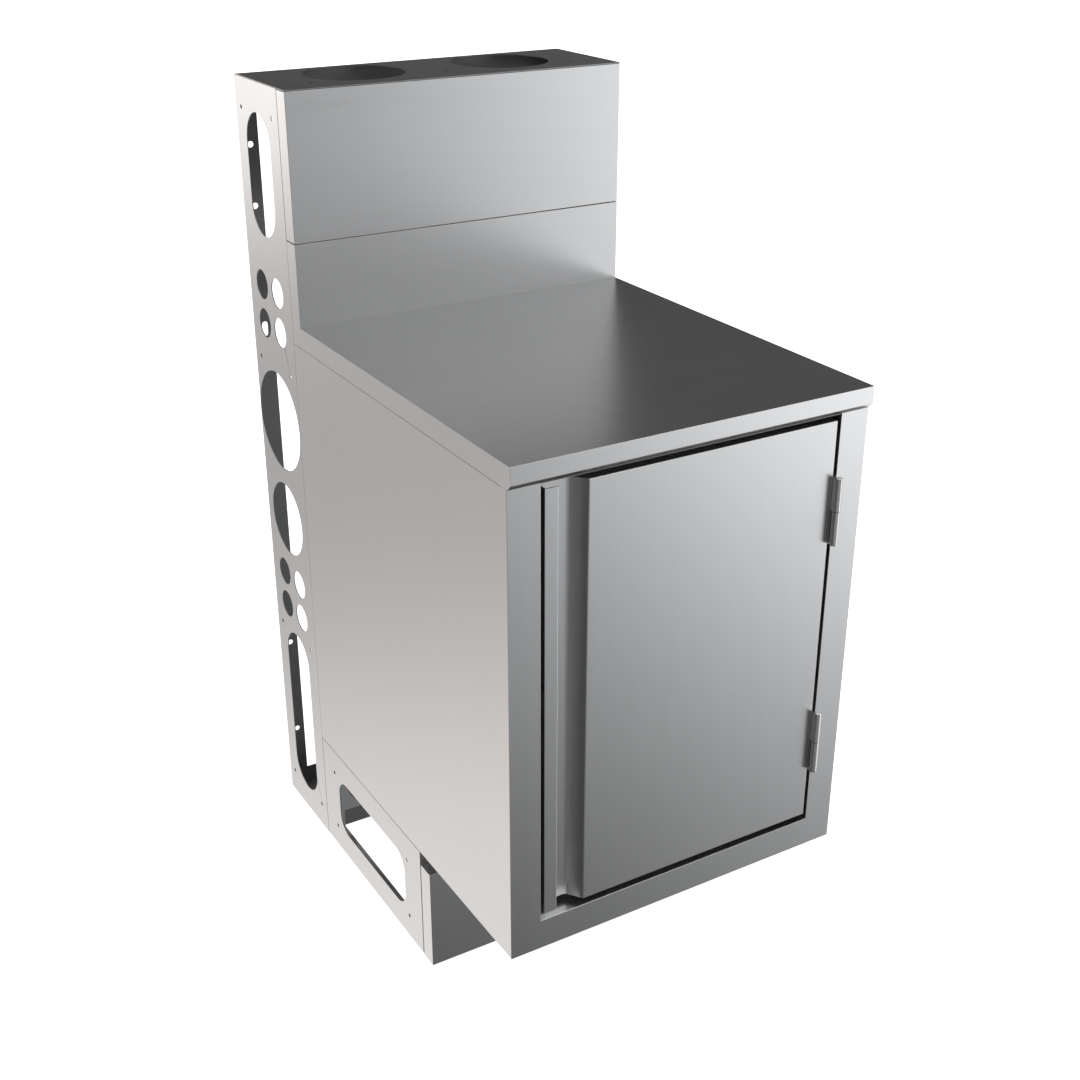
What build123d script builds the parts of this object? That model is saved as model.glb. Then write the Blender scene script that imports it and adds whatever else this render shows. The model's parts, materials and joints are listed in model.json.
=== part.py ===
"""Undercounter refrigerator cabinet with a rear utility chase, as separate sheet-metal and cooling pieces.

Millimetres. While modelling, x runs from the cabinet's middle, y runs back from the front plane of the
face frame and z runs up from the floor. Every piece is written in the part's own frame, whose origin is
the middle of the footprint on the floor, so write() moves it forward by half the overall depth.
"""
from build123d import *
import os

# Driving dimensions: the cabinet
WIDTH = 457.2            # overall width
HALF = WIDTH / 2
SHEET = 1.2              # thickness of the cabinet's sheet metal
SEAM = 0.5               # gap at a visible seam
BASE_HEIGHT = 160.3      # floor to the cabinet's underside
CABINET_HEIGHT = 571.3
CABINET_DEPTH = 533.4
CABINET_TOP = BASE_HEIGHT + CABINET_HEIGHT
FRAME_WIDTH = 38.1       # stiles and bottom rail of the face frame
OPENING_HALF = HALF - FRAME_WIDTH
SILL = BASE_HEIGHT + FRAME_WIDTH

# Worktop and backsplash
WORKTOP_SHEET = 1.5
WORKTOP_HEIGHT = 26.6    # apron height
WORKTOP_Z = CABINET_TOP + WORKTOP_HEIGHT
NOSING = 6.7             # how far the front edge stands out, and its 45 degree undercut
SPLASH_Y = 508.4         # front plane of the backsplash and of the upper front panel
SPLASH_TOP = WORKTOP_Z + 102.0
RETURN = 12.7            # small inward returns
HAT_X = WIDTH / 5        # hat channels under the worktop: place, half crown, half width with feet
HAT_CROWN = 25.0
HAT_FOOT = 45.0
HAT_FRONT = 15.0
HAT_GAP = 0.2            # play between a channel's crown and the worktop

# Chase behind the cabinet
CHASE_BACK = 671.5
CHASE_TOP = 1038.3
CHASE_FRONT = CABINET_DEPTH + SEAM
CHASE_MID = (CABINET_DEPTH + CHASE_BACK) / 2 + 1.0
FLANGE = 25.4            # wide inward flanges
TOP_PLATE_BACK = 664.0
LINE_HOLE_R = 19.05      # the groups of four line holes
LINE_HOLE_STEP = 25.4    # half their spacing
LINE_HOLE_Z = (759.0, 353.2)
LARGE_HOLE = (607.6, 66.7)     # height and radius
MEDIUM_HOLE = (467.3, 50.8)
SLOT_WIDTH = 76.2
UPPER_SLOT = (850.3, 1000.6)   # bottom and top of the upper obround
LOWER_SLOT = (36.3, 289.3)
SCREW_HALF_STEP = 50.0
SCREW_Z = (1000.6, 682.8, 289.5, 36.6)
SCREW_R = 2.8
WALL_HOLE_X = HALF - 14.3
WALL_HOLE_Z = (951.0, 874.1, 242.1, 96.2)
WALL_HOLE_R = 4.0
WALL_SLOT_Z = 712.3
WALL_SLOT_REACH = 6.0    # half the distance between the wall slot's two round ends
DUCT_HOLE_X = 101.6
DUCT_HOLE_Y = 597.5
DUCT_HOLE_R = 63.5
TOP_SCREW_X = 179.0
TOP_SCREW_Y = (549.5, 653.0)
RELIEF_Y = (3.0, 4.5)    # bend relief slit of the top plate, measured from the chase's front
RELIEF_EDGE = 2.5
CLIP_Z = (900.0, 995.0)  # spring clips of the upper front panel
CLIP_HALF = 10.0
CLIP_GAP = 2.0

# Base
BASE_FRONT = 230.2
BASE_OPENING_Y = (277.6, 483.0)
BASE_OPENING_Z = (38.6, 122.0)
BASE_CORNER_R = 25.4
BASE_SCREW_Y = (268.2, 496.3)
BASE_SCREW_Z = (34.3, 122.8)
ANCHOR_X = HALF - 13.0
ANCHOR_Y = (262.0, 508.0)
ANCHOR_R = 3.5
PASS_HOLE = (159.0, 68.8, 37.5)  # distance from the middle, height and radius
BASE_BACK_BOTTOM = 27.0
KICK_Y = 204.0
KICK_HEIGHT = 141.0
KICK_RETURN = 24.0
RAIL_BOTTOM = 60.0
KICK_CLIP_X = 120.0      # spring clips of the kick plate: place, half width, foot and arm heights
KICK_CLIP_HALF = 12.0
KICK_CLIP_Z = (70.0, 110.0)
KICK_ARM_Z = 100.0
KICK_NIB_Z = 84.0

# Cold compartment
JAMB_DEPTH = 55.4
SEAT_Y = 52.4            # plane that the door gasket seals on
CAVITY_HALF = 171.4
CAVITY_FLOOR = 217.5
CAVITY_CEILING = 680.8
CAVITY_BACK = 481.6
LINER = 1.0

# Door
DOOR_HALF = 186.0
DOOR_BOTTOM = 206.8
DOOR_TOP = 724.0
DOOR_SKIN = 1.0
DOOR_BACK = 42.0         # plane where the skin ends and the liner begins
GRIP_DEPTH = 18.5
GRIP_FLOOR_X = -148.0    # where the recess floor turns up into the bevel
GRIP_EDGE_X = -134.3     # where the bevel meets the door's face
GRIP_LIP = 16.4
GASKET_DEPTH = 9.2
GASKET_WIDTH = 12.0
GASKET_HALF = 184.5
GASKET_WALL = 2.2
GASKET_FACE = 3.0        # thickness of the sealing face
PAN_MARGIN = 32.0        # flat margin of the door liner round its shallow pan
PAN_DEPTH = 6.0

# Hinges
HINGE_X = 189.0
HINGE_Y = -6.35
HINGE_R = 4.5
HINGE_HALF = 41.0
HINGE_SPREAD = 151.5
LEAF = 1.3
LEAF_DEPTH = 26.0
LEAF_FRONT = -1.0
PIN_R = 2.5
RUNNING = 0.05           # radial running clearance
WASHER = 1.6
BARREL_CAP = 3.0         # solid ends of the barrels

# Shelves
PILASTER_Y = (105.0, 430.0)
PILASTER_Z = (235.0, 525.0)
PILASTER_WIDTH = 16.0
PILASTER_DEPTH = 5.0
PILASTER_STEP = 25.0
PILASTER_SLOT = (4.0, 1.5)     # half width and half height
CLIP_PLATE = (-12.0, 5.0)      # shelf clip, below and above its foot
CLIP_WIDTH = 10.0
SHELF_Z = (325.0, 450.0)
SHELF_HALF = 162.0
SHELF_Y = (70.0, 468.0)
SHELF_ROD = 3.0
SHELF_CROSS = 2.6
SHELF_WIRE = 1.5
SHELF_WIRE_RISE = 0.7
SHELF_WIRES = 13

# Evaporator unit, hung from the liner's ceiling
UNIT_HALF = 140.0
UNIT_Y = (330.0, 470.0)
UNIT_BOTTOM = 562.0
UNIT_FLANGE = 14.0
UNIT_SCREW_R = 2.0
UNIT_SCREW_LENGTH = 14.0
UNIT_SCREW_HEAD = (4.0, 2.4)   # radius and height
UNIT_SCREW_INSET = 20.0
LOUVRES = 5
LOUVRE_FIRST = 26.0            # above the housing's lower edge
LOUVRE_STEP = 16.0
LOUVRE_HEIGHT = 5.0
LOUVRE_INSET = 30.0
FAN_X = -40.0
FAN_Z = 620.0
FAN_OPENING_R = 49.0
FAN_BLADE_R = 45.0
FAN_HUB_Y = (335.0, 350.0)
BLADES = 5
BLADE_TWIST = 32.0
SHAFT_R = 3.0
MOTOR_R = 22.0
MOTOR_Y = (356.0, 378.0)
BOSS_R = 9.0
BOSS_FRONT = 352.5
SHAFT_END = 371.0
STRAP = 2.0              # fan strap: thickness, half height and foot length
STRAP_HALF = 7.0
STRAP_FOOT = 12.0
GUARD_RINGS = (18.0, 28.0, 38.0, 48.0, 56.0)
GUARD_WIRE = 1.2
GUARD_SPOKE = 1.4
KNOB_X = 92.0
KNOB_Z = 620.0
KNOB_R = 17.0
KNOB_THICK = 8.0         # disc, and the same again for the grip bar
THERMOSTAT_HALF = (20.0, 24.0)
THERMOSTAT_BACK = UNIT_Y[0] + 30.0
SPINDLE_BACK = UNIT_Y[0] + 18.0
COIL_HALF = 100.0
COIL_Y = (395.0, 455.0)
COIL_Z = (575.0, 665.0)
COIL_COLUMN = 410.0      # the front column of tube passes, the lowest row and the step between them
COIL_ROW = 590.0
COIL_STEP = 30.0
TUBE_R = 4.8
FINS = 19
FIN_HALF = 0.4           # half a fin's thickness
FIN_INSET = 8.0
HANGER_INSET = 6.0
SUCTION_R = 6.35
LIQUID_R = 3.2
LINE_X = 128.0
SUCTION_Z = COIL_ROW
LIQUID_Z = 650.0
LINE_END = 600.0
VALVE_Y = (435.0, 465.0)
FLARE_WIDER = 5.0        # a flare nut's corners stand this far outside its line
FLARE_LENGTH = 16.0
DRAIN_R = 8.0
DRAIN_Y = 450.0
DRAIN_Z = 520.0
DRAIN_END = 560.0
PAN_BELOW = 12.0         # drip pan: how far its floor is below the housing's lower edge
PAN_ABOVE = 4.0
GROMMET_WALL = 3.0       # grommet: wall, and the height and overhang of its flange

FRONT_MOST = HINGE_Y - HINGE_R
MIDDLE_Y = (FRONT_MOST + CHASE_BACK) / 2


def block(x, y, z):
    """A box from three (low, high) pairs."""
    centre = [(pair[0] + pair[1]) / 2 for pair in (x, y, z)]
    return Pos(*centre) * Box(x[1] - x[0], y[1] - y[0], z[1] - z[0])


def post(radius, x, y, z):
    """A vertical cylinder; z is a (low, high) pair."""
    return Pos(x, y, sum(z) / 2) * Cylinder(radius, z[1] - z[0])


def bar_x(radius, x, y, z):
    """A cylinder along x; x is a (low, high) pair."""
    return Pos(sum(x) / 2, y, z) * Rot(0, 90, 0) * Cylinder(radius, x[1] - x[0])


def bar_y(radius, x, y, z):
    """A cylinder along y; y is a (low, high) pair."""
    return Pos(x, sum(y) / 2, z) * Rot(90, 0, 0) * Cylinder(radius, y[1] - y[0])


def moved_left(points, distance):
    """The corners of a line of points after the line is moved to its left."""
    line = [Vector(*point) for point in points]
    ways = [(b - a).normalized() for a, b in zip(line, line[1:])]
    sides = [Vector(-way.Y, way.X) for way in ways]
    corners = [line[0] + sides[0] * distance]
    for point, before, after in zip(line[1:], sides, sides[1:]):
        corners.append(point + (before + after) * (distance / (1 + before.dot(after))))
    corners.append(line[-1] + sides[-1] * distance)
    return corners


def sheet_outline(points, thickness):
    """The closed outline of a folded sheet: the given line, and the same line moved to its left."""
    line = [Vector(*point) for point in points]
    return make_face(Polyline(*line, *reversed(moved_left(points, thickness)), close=True))


def folded_along_x(points, thickness, x):
    """A sheet folded along the line of (y, z) points, running from x[0] to x[1]."""
    face = Plane.YZ * sheet_outline(points, thickness)
    return Pos(x[0], 0, 0) * extrude(face, x[1] - x[0])


def folded_along_z(points, thickness, z):
    """A sheet folded along the line of (x, y) points, running from z[0] to z[1]."""
    return Pos(0, 0, z[0]) * extrude(sheet_outline(points, thickness), z[1] - z[0])


def prism_z(points, z):
    """A solid with an (x, y) outline, from z[0] to z[1]."""
    return Pos(0, 0, z[0]) * extrude(make_face(Polyline(*points, close=True)), z[1] - z[0])


def one(*solids):
    """The solids fused into one."""
    whole = solids[0]
    for solid in solids[1:]:
        whole = whole + solid
    return whole


def on_right(left_piece):
    """The right-hand piece, a mirror image of the left-hand one."""
    return mirror(left_piece, about=Plane.YZ)


def write(name, *solids):
    """Writes one piece, or a group of identical loose solids, in the part's own frame."""
    shape = solids[0] if len(solids) == 1 else Compound(children=[Part(s.wrapped) for s in solids])
    moved = Pos(0, -MIDDLE_Y, 0) * shape
    moved.label = name
    export_step(moved, "parts/" + name + ".step")


def chase_side():
    """Left chase panel: front and rear flanges, a top flange and all its holes."""
    top = CHASE_TOP - SHEET
    skin = block((-HALF, -HALF + SHEET), (CHASE_FRONT, CHASE_BACK), (0, top))
    inner = -HALF + SHEET
    rear = block((inner, -HALF + FLANGE), (CHASE_BACK - SHEET, CHASE_BACK), (0, top))
    front = block((inner, -HALF + RETURN), (CHASE_FRONT, CHASE_FRONT + SHEET), (BASE_HEIGHT, top))
    lid = block((inner, -HALF + FLANGE), (CHASE_FRONT, CHASE_BACK), (top - SHEET, top))
    panel = one(skin, rear, front, lid)
    through = (-HALF - SHEET, -HALF + 2 * SHEET)
    for z, radius in (LARGE_HOLE, MEDIUM_HOLE):
        panel -= bar_x(radius, through, CHASE_MID, z)
    for middle in LINE_HOLE_Z:
        for dy in (-LINE_HOLE_STEP, LINE_HOLE_STEP):
            for dz in (-LINE_HOLE_STEP, LINE_HOLE_STEP):
                panel -= bar_x(LINE_HOLE_R, through, CHASE_MID + dy, middle + dz)
    half_slot = SLOT_WIDTH / 2
    for low, high in (UPPER_SLOT, LOWER_SLOT):
        ends = (low + half_slot, high - half_slot)
        panel -= block(through, (CHASE_MID - half_slot, CHASE_MID + half_slot), ends)
        for z in ends:
            panel -= bar_x(half_slot, through, CHASE_MID, z)
    for z in SCREW_Z:
        for dy in (-SCREW_HALF_STEP, SCREW_HALF_STEP):
            panel -= bar_x(SCREW_R, through, CHASE_MID + dy, z)
    behind = (CHASE_BACK - 2 * SHEET, CHASE_BACK + SHEET)
    for z in WALL_HOLE_Z:
        panel -= bar_y(WALL_HOLE_R, -WALL_HOLE_X, behind, z)
    slot_ends = (WALL_SLOT_Z - WALL_SLOT_REACH, WALL_SLOT_Z + WALL_SLOT_REACH)
    for z in slot_ends:
        panel -= bar_y(WALL_HOLE_R, -WALL_HOLE_X, behind, z)
    slot_x = (-WALL_HOLE_X - WALL_HOLE_R, -WALL_HOLE_X + WALL_HOLE_R)
    return panel - block(slot_x, behind, slot_ends)


def chase_top_plate():
    """Plate on top of the chase, with two duct cut-outs, six screw holes and a turned-down back edge."""
    low = CHASE_TOP - SHEET
    plate = block((-HALF, HALF), (SPLASH_Y, TOP_PLATE_BACK), (low, CHASE_TOP))
    back_x = HALF - FLANGE - SEAM
    lip = block((-back_x, back_x), (TOP_PLATE_BACK - SHEET, TOP_PLATE_BACK), (low - FLANGE, low))
    plate = one(plate, lip)
    through = (low - SHEET, CHASE_TOP + SHEET)
    for side in (-1, 1):
        plate -= post(DUCT_HOLE_R, side * DUCT_HOLE_X, DUCT_HOLE_Y, through)
        slit = sorted((side * (HALF - RELIEF_EDGE), side * (HALF - FLANGE)))
        plate -= block(slit, (CHASE_FRONT + RELIEF_Y[0], CHASE_FRONT + RELIEF_Y[1]), through)
    for x in (-TOP_SCREW_X, 0, TOP_SCREW_X):
        for y in TOP_SCREW_Y:
            plate -= post(SCREW_R, x, y, through)
    return plate


def chase_base_tray():
    """Floor tray of the chase, with its rear edge turned up."""
    inside = HALF - SHEET
    back = CHASE_BACK - SHEET
    line = [(CHASE_FRONT + 2 * SHEET, 0), (back, 0), (back, FLANGE)]
    return folded_along_x(line, SHEET, (-inside, inside))


def upper_front_panel():
    """Lift-off cover in front of the chase, with returns on all four sides."""
    low = SPLASH_TOP + 2 * SEAM
    high = CHASE_TOP - SHEET - SEAM
    depth = CHASE_FRONT - 2 * SEAM
    face = block((-HALF, HALF), (SPLASH_Y, SPLASH_Y + SHEET), (low, high))
    parts = [face]
    for x in ((-HALF, -HALF + SHEET), (HALF - SHEET, HALF)):
        parts.append(block(x, (SPLASH_Y, depth), (low, high)))
    for z in ((low, low + SHEET), (high - SHEET, high)):
        parts.append(block((-HALF, HALF), (SPLASH_Y, SPLASH_Y + RETURN), z))
    return one(*parts)


def panel_clip(side, z):
    """Spring clip on the chase's front flange; its finger bears on the cover's side return."""
    outer = HALF - 2 * SHEET
    foot_y = (CHASE_FRONT - SHEET, CHASE_FRONT)
    height = (z - CLIP_HALF, z + CLIP_HALF)
    foot_x = sorted((side * outer, side * (HALF - RETURN)))
    finger_x = sorted((side * outer, side * (outer - SHEET)))
    foot = block(foot_x, foot_y, height)
    finger = block(finger_x, (SPLASH_Y + RETURN + CLIP_GAP, CHASE_FRONT), height)
    return one(foot, finger)


def worktop():
    """Worktop and backsplash: one sheet folded from the nosing's return to the backsplash's top return."""
    line = [
        (RETURN, CABINET_TOP),
        (0, CABINET_TOP),
        (-NOSING, CABINET_TOP + NOSING),
        (-NOSING, WORKTOP_Z),
        (SPLASH_Y, WORKTOP_Z),
        (SPLASH_Y, SPLASH_TOP),
        (SPLASH_Y + RETURN, SPLASH_TOP),
    ]
    main = folded_along_x(line, -WORKTOP_SHEET, (-HALF, HALF))
    parts = [main]
    low = CABINET_TOP + SEAM
    inner = HALF - WORKTOP_SHEET
    for side in (-1, 1):
        x = sorted((side * inner, side * HALF))
        parts.append(block(x, (0, CABINET_DEPTH), (low, WORKTOP_Z)))
        parts.append(block(x, (SPLASH_Y, CABINET_DEPTH), (low, SPLASH_TOP)))
        tip = [(0, low), (-NOSING, CABINET_TOP + NOSING), (-NOSING, WORKTOP_Z), (0, WORKTOP_Z)]
        cheek = Plane.YZ * make_face(Polyline(*tip, close=True))
        parts.append(Pos(x[0], 0, 0) * extrude(cheek, WORKTOP_SHEET))
    return one(*parts)


def worktop_stiffener(side):
    """Hat channel that fills the height between the cabinet's roof and the worktop."""
    middle = side * HAT_X
    crown = WORKTOP_Z - WORKTOP_SHEET - SHEET - HAT_GAP
    line = [
        (middle - HAT_FOOT, CABINET_TOP),
        (middle - HAT_CROWN, CABINET_TOP),
        (middle - HAT_CROWN, crown),
        (middle + HAT_CROWN, crown),
        (middle + HAT_CROWN, CABINET_TOP),
        (middle + HAT_FOOT, CABINET_TOP),
    ]
    back = SPLASH_Y - 2 * RETURN
    hat = extrude(Plane.XZ * sheet_outline(line, SHEET), back - HAT_FRONT)
    return Pos(0, back, 0) * hat


def cabinet_wrapper():
    """Outer sides and bottom of the cabinet."""
    y = (SHEET, CABINET_DEPTH)
    z = (BASE_HEIGHT, CABINET_TOP)
    left = block((-HALF, -HALF + SHEET), y, z)
    bottom = block((-HALF, HALF), y, (BASE_HEIGHT, BASE_HEIGHT + SHEET))
    right = block((HALF - SHEET, HALF), y, z)
    return one(left, bottom, right)


def face_frame():
    """Two stiles and a bottom rail, with jambs and a sill folded back to the gasket seat."""
    front = block((-HALF, HALF), (0, SHEET), (BASE_HEIGHT, CABINET_TOP))
    front -= block((-OPENING_HALF, OPENING_HALF), (-SHEET, 2 * SHEET), (SILL, CABINET_TOP + SHEET))
    top = CABINET_TOP - SHEET
    parts = [front]
    for side in (-1, 1):
        x = sorted((side * OPENING_HALF, side * (OPENING_HALF + SHEET)))
        parts.append(block(x, (0, JAMB_DEPTH), (SILL - SHEET, top)))
    wide = OPENING_HALF + SHEET
    parts.append(block((-wide, wide), (0, JAMB_DEPTH), (SILL - SHEET, SILL)))
    return one(*parts)


def cabinet_roof():
    """Outer top sheet of the cabinet, under the worktop."""
    inner = HALF - SHEET
    return block((-inner, inner), (SHEET, CABINET_DEPTH - SHEET), (CABINET_TOP - SHEET, CABINET_TOP))


def service_holes(shape, grow, y):
    """Cuts the holes of the two refrigerant lines and the drain through a wall."""
    shape -= bar_y(SUCTION_R + grow, LINE_X, y, SUCTION_Z)
    shape -= bar_y(LIQUID_R + grow, LINE_X, y, LIQUID_Z)
    shape -= bar_y(DRAIN_R + grow, 0, y, DRAIN_Z)
    return shape


def cabinet_back():
    """Outer back of the cabinet, with the service holes."""
    inner = HALF - SHEET
    back = block((-inner, inner), (CABINET_DEPTH - SHEET, CABINET_DEPTH),
                 (BASE_HEIGHT + SHEET, CABINET_TOP))
    return service_holes(back, GROMMET_WALL, (CABINET_DEPTH - 2 * SHEET, CABINET_DEPTH + SHEET))


def service_grommet(radius, x, z):
    """Rubber ring that seals one line where it leaves the cabinet's back."""
    face = CABINET_DEPTH + GROMMET_WALL
    sleeve = bar_y(radius + GROMMET_WALL, x, (CABINET_DEPTH - SHEET, face), z)
    flange = bar_y(radius + 2 * GROMMET_WALL, x, (CABINET_DEPTH, face), z)
    return one(sleeve, flange) - bar_y(radius, x, (CABINET_DEPTH - 5, CABINET_DEPTH + 5), z)


def breaker_frame():
    """Plastic thermal break round the mouth of the cold compartment; the gasket seals on it."""
    ring = block((-OPENING_HALF, OPENING_HALF), (SEAT_Y, JAMB_DEPTH), (SILL, CABINET_TOP - SHEET))
    return ring - block((-CAVITY_HALF, CAVITY_HALF), (SEAT_Y - 1, JAMB_DEPTH + 1),
                        (CAVITY_FLOOR, CAVITY_CEILING))


def inner_liner():
    """Food-zone box, open at the front."""
    y = (JAMB_DEPTH, CAVITY_BACK + LINER)
    outer = block((-CAVITY_HALF - LINER, CAVITY_HALF + LINER), y,
                  (CAVITY_FLOOR - LINER, CAVITY_CEILING + LINER))
    hollow = block((-CAVITY_HALF, CAVITY_HALF), (JAMB_DEPTH - 1, CAVITY_BACK),
                   (CAVITY_FLOOR, CAVITY_CEILING))
    liner = service_holes(outer - hollow, 0, (CAVITY_BACK - 1, CAVITY_BACK + 2 * LINER))
    for x, y in unit_screw_places():
        liner -= post(UNIT_SCREW_R, x, y, (CAVITY_CEILING - 1, CAVITY_CEILING + 2))
    return liner


def insulation_foam():
    """Foam between the outer sheets and the liner, and behind the face frame."""
    inner = HALF - SHEET
    foam = block((-inner, inner), (SHEET, CABINET_DEPTH - SHEET),
                 (BASE_HEIGHT + SHEET, CABINET_TOP - SHEET))
    wide = OPENING_HALF + SHEET
    foam -= block((-wide, wide), (0, JAMB_DEPTH), (SILL - SHEET, CABINET_TOP))
    foam -= block((-CAVITY_HALF - LINER, CAVITY_HALF + LINER), (JAMB_DEPTH - 1, CAVITY_BACK + LINER),
                  (CAVITY_FLOOR - LINER, CAVITY_CEILING + LINER))
    foam = service_holes(foam, 0, (CAVITY_BACK, CABINET_DEPTH))
    for x, y in unit_screw_places():
        foam -= post(UNIT_SCREW_R, x, y, (CAVITY_CEILING, CAVITY_CEILING + UNIT_SCREW_LENGTH))
    return foam


def base_side():
    """Left base panel with a rounded opening, screw holes and inward flanges all round."""
    low, high = 0, BASE_HEIGHT - SEAM
    y = (BASE_FRONT, CABINET_DEPTH)
    skin = block((-HALF, -HALF + SHEET), y, (low, high))
    x = (-HALF, -HALF + FLANGE)
    panel = one(
        skin,
        block(x, y, (low, low + SHEET)),
        block(x, y, (high - SHEET, high)),
        block(x, (BASE_FRONT, BASE_FRONT + SHEET), (low, high)),
        block(x, (CABINET_DEPTH - SHEET, CABINET_DEPTH), (low, high)),
    )
    width = BASE_OPENING_Y[1] - BASE_OPENING_Y[0]
    height = BASE_OPENING_Z[1] - BASE_OPENING_Z[0]
    window = Plane.YZ * RectangleRounded(width, height, BASE_CORNER_R)
    centre = Pos(-HALF - SHEET, sum(BASE_OPENING_Y) / 2, sum(BASE_OPENING_Z) / 2)
    panel -= centre * extrude(window, 3 * SHEET)
    for hole_y in BASE_SCREW_Y:
        for hole_z in BASE_SCREW_Z:
            panel -= bar_x(SCREW_R, (-HALF - SHEET, -HALF + 2 * SHEET), hole_y, hole_z)
    for hole_y in ANCHOR_Y:
        panel -= post(ANCHOR_R, -ANCHOR_X, hole_y, (-SHEET, 2 * SHEET))
    return panel


def base_back():
    """Back wall of the base, with two round pass holes into the chase."""
    inner = HALF - 2 * SHEET
    x, z, radius = PASS_HOLE
    y = (CHASE_FRONT, CHASE_FRONT + SHEET)
    wall = block((-inner, inner), y, (BASE_BACK_BOTTOM, BASE_HEIGHT - SEAM))
    for side in (-1, 1):
        wall -= bar_y(radius, side * x, (y[0] - SHEET, y[1] + SHEET), z)
    return wall


def base_front_rail():
    """Channel across the front of the base, behind and above the kick plate."""
    inner = HALF - FLANGE - SEAM
    front = BASE_FRONT
    top = BASE_HEIGHT - SEAM
    line = [(front + FLANGE, top), (front, top), (front, RAIL_BOTTOM), (front + FLANGE, RAIL_BOTTOM)]
    return folded_along_x(line, SHEET, (-inner, inner))


def kick_plate():
    """Removable kick plate with side and top returns."""
    face = block((-HALF, HALF), (KICK_Y, KICK_Y + SHEET), (0, KICK_HEIGHT))
    parts = [face]
    for x in ((-HALF, -HALF + SHEET), (HALF - SHEET, HALF)):
        parts.append(block(x, (KICK_Y, KICK_Y + KICK_RETURN), (0, KICK_HEIGHT)))
    parts.append(block((-HALF, HALF), (KICK_Y, KICK_Y + KICK_RETURN - 4),
                       (KICK_HEIGHT - SHEET, KICK_HEIGHT)))
    return one(*parts)


def kick_clip(side):
    """Spring clip on the front rail that the kick plate snaps onto."""
    x = (side * KICK_CLIP_X - KICK_CLIP_HALF, side * KICK_CLIP_X + KICK_CLIP_HALF)
    front = KICK_Y + 2 * SHEET
    foot = block(x, (BASE_FRONT - SHEET, BASE_FRONT), KICK_CLIP_Z)
    arm = block(x, (front, BASE_FRONT), (KICK_ARM_Z, KICK_ARM_Z + SHEET))
    nib = block(x, (front, front + SHEET), (KICK_NIB_Z, KICK_ARM_Z + SHEET))
    return one(foot, arm, nib)


def door_body(inset):
    """The door's solid form without its liner; an inset moves every face but the back one inwards."""
    line = [
        (-DOOR_HALF, DOOR_BACK),
        (-DOOR_HALF, GRIP_DEPTH),
        (GRIP_FLOOR_X, GRIP_DEPTH),
        (GRIP_EDGE_X, 0),
        (DOOR_HALF, 0),
        (DOOR_HALF, DOOR_BACK),
    ]
    return prism_z(moved_left(line, inset), (DOOR_BOTTOM + inset, DOOR_TOP - inset))


def door_skin():
    """Outer skin of the door: face, grip recess, edges, top and bottom."""
    return door_body(0) - door_body(DOOR_SKIN)


def door_foam():
    """Foam core of the door; the liner's pan is pressed into its back."""
    return door_body(DOOR_SKIN) - door_pan(0)


def door_pan(inset):
    """The space of the liner's shallow pan, moved inwards by the inset."""
    half = DOOR_HALF - PAN_MARGIN - inset
    z = (DOOR_BOTTOM + PAN_MARGIN + inset, DOOR_TOP - PAN_MARGIN - inset)
    return block((-half, half), (DOOR_BACK - PAN_DEPTH + inset, DOOR_BACK + 2 * DOOR_SKIN), z)


def door_liner():
    """Inner face of the door: a flat margin for the gasket round a shallow pan."""
    margin = block((-DOOR_HALF, DOOR_HALF), (DOOR_BACK, DOOR_BACK + DOOR_SKIN), (DOOR_BOTTOM, DOOR_TOP))
    pan = door_pan(0) & block((-HALF, HALF), (0, DOOR_BACK + DOOR_SKIN), (0, CHASE_TOP))
    return one(margin, pan) - door_pan(DOOR_SKIN)


def door_grip():
    """Lip and wall of the grip channel, folded from one strip and welded into the recess."""
    wall_x = -DOOR_HALF
    line = [(wall_x + RETURN, GRIP_DEPTH), (wall_x, GRIP_DEPTH), (wall_x, 0), (wall_x + GRIP_LIP, 0)]
    return folded_along_z(line, SHEET, (DOOR_BOTTOM, DOOR_TOP))


def door_gasket():
    """Magnetic gasket round the door liner's margin, a hollow ring."""
    low = DOOR_BACK + DOOR_SKIN
    z = (DOOR_BOTTOM + DOOR_HALF - GASKET_HALF, DOOR_TOP - DOOR_HALF + GASKET_HALF)

    def ring(inset, y):
        outer = GASKET_HALF - inset
        inner = GASKET_HALF - GASKET_WIDTH + inset
        shell = block((-outer, outer), y, (z[0] + inset, z[1] - inset))
        gap = GASKET_WIDTH - inset
        return shell - block((-inner, inner), (y[0] - 1, y[1] + 1), (z[0] + gap, z[1] - gap))

    high = low + GASKET_DEPTH
    return ring(0, (low, high)) - ring(GASKET_WALL, (low + GASKET_WALL, high - GASKET_FACE))


def hinge_knuckle(z):
    """One bored barrel of a hinge."""
    return post(HINGE_R, HINGE_X, HINGE_Y, z)


def hinge_leaf(x, centre, knuckle, bore):
    """A leaf in the door gap with the barrel that it carries."""
    leaf = block(x, (LEAF_FRONT, LEAF_DEPTH), (centre - HINGE_HALF, centre + HINGE_HALF))
    web = block(x, (HINGE_Y + 3.0, LEAF_FRONT), knuckle)
    return one(leaf, web, hinge_knuckle(knuckle)) - post(PIN_R + RUNNING, HINGE_X, HINGE_Y, bore)


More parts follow.
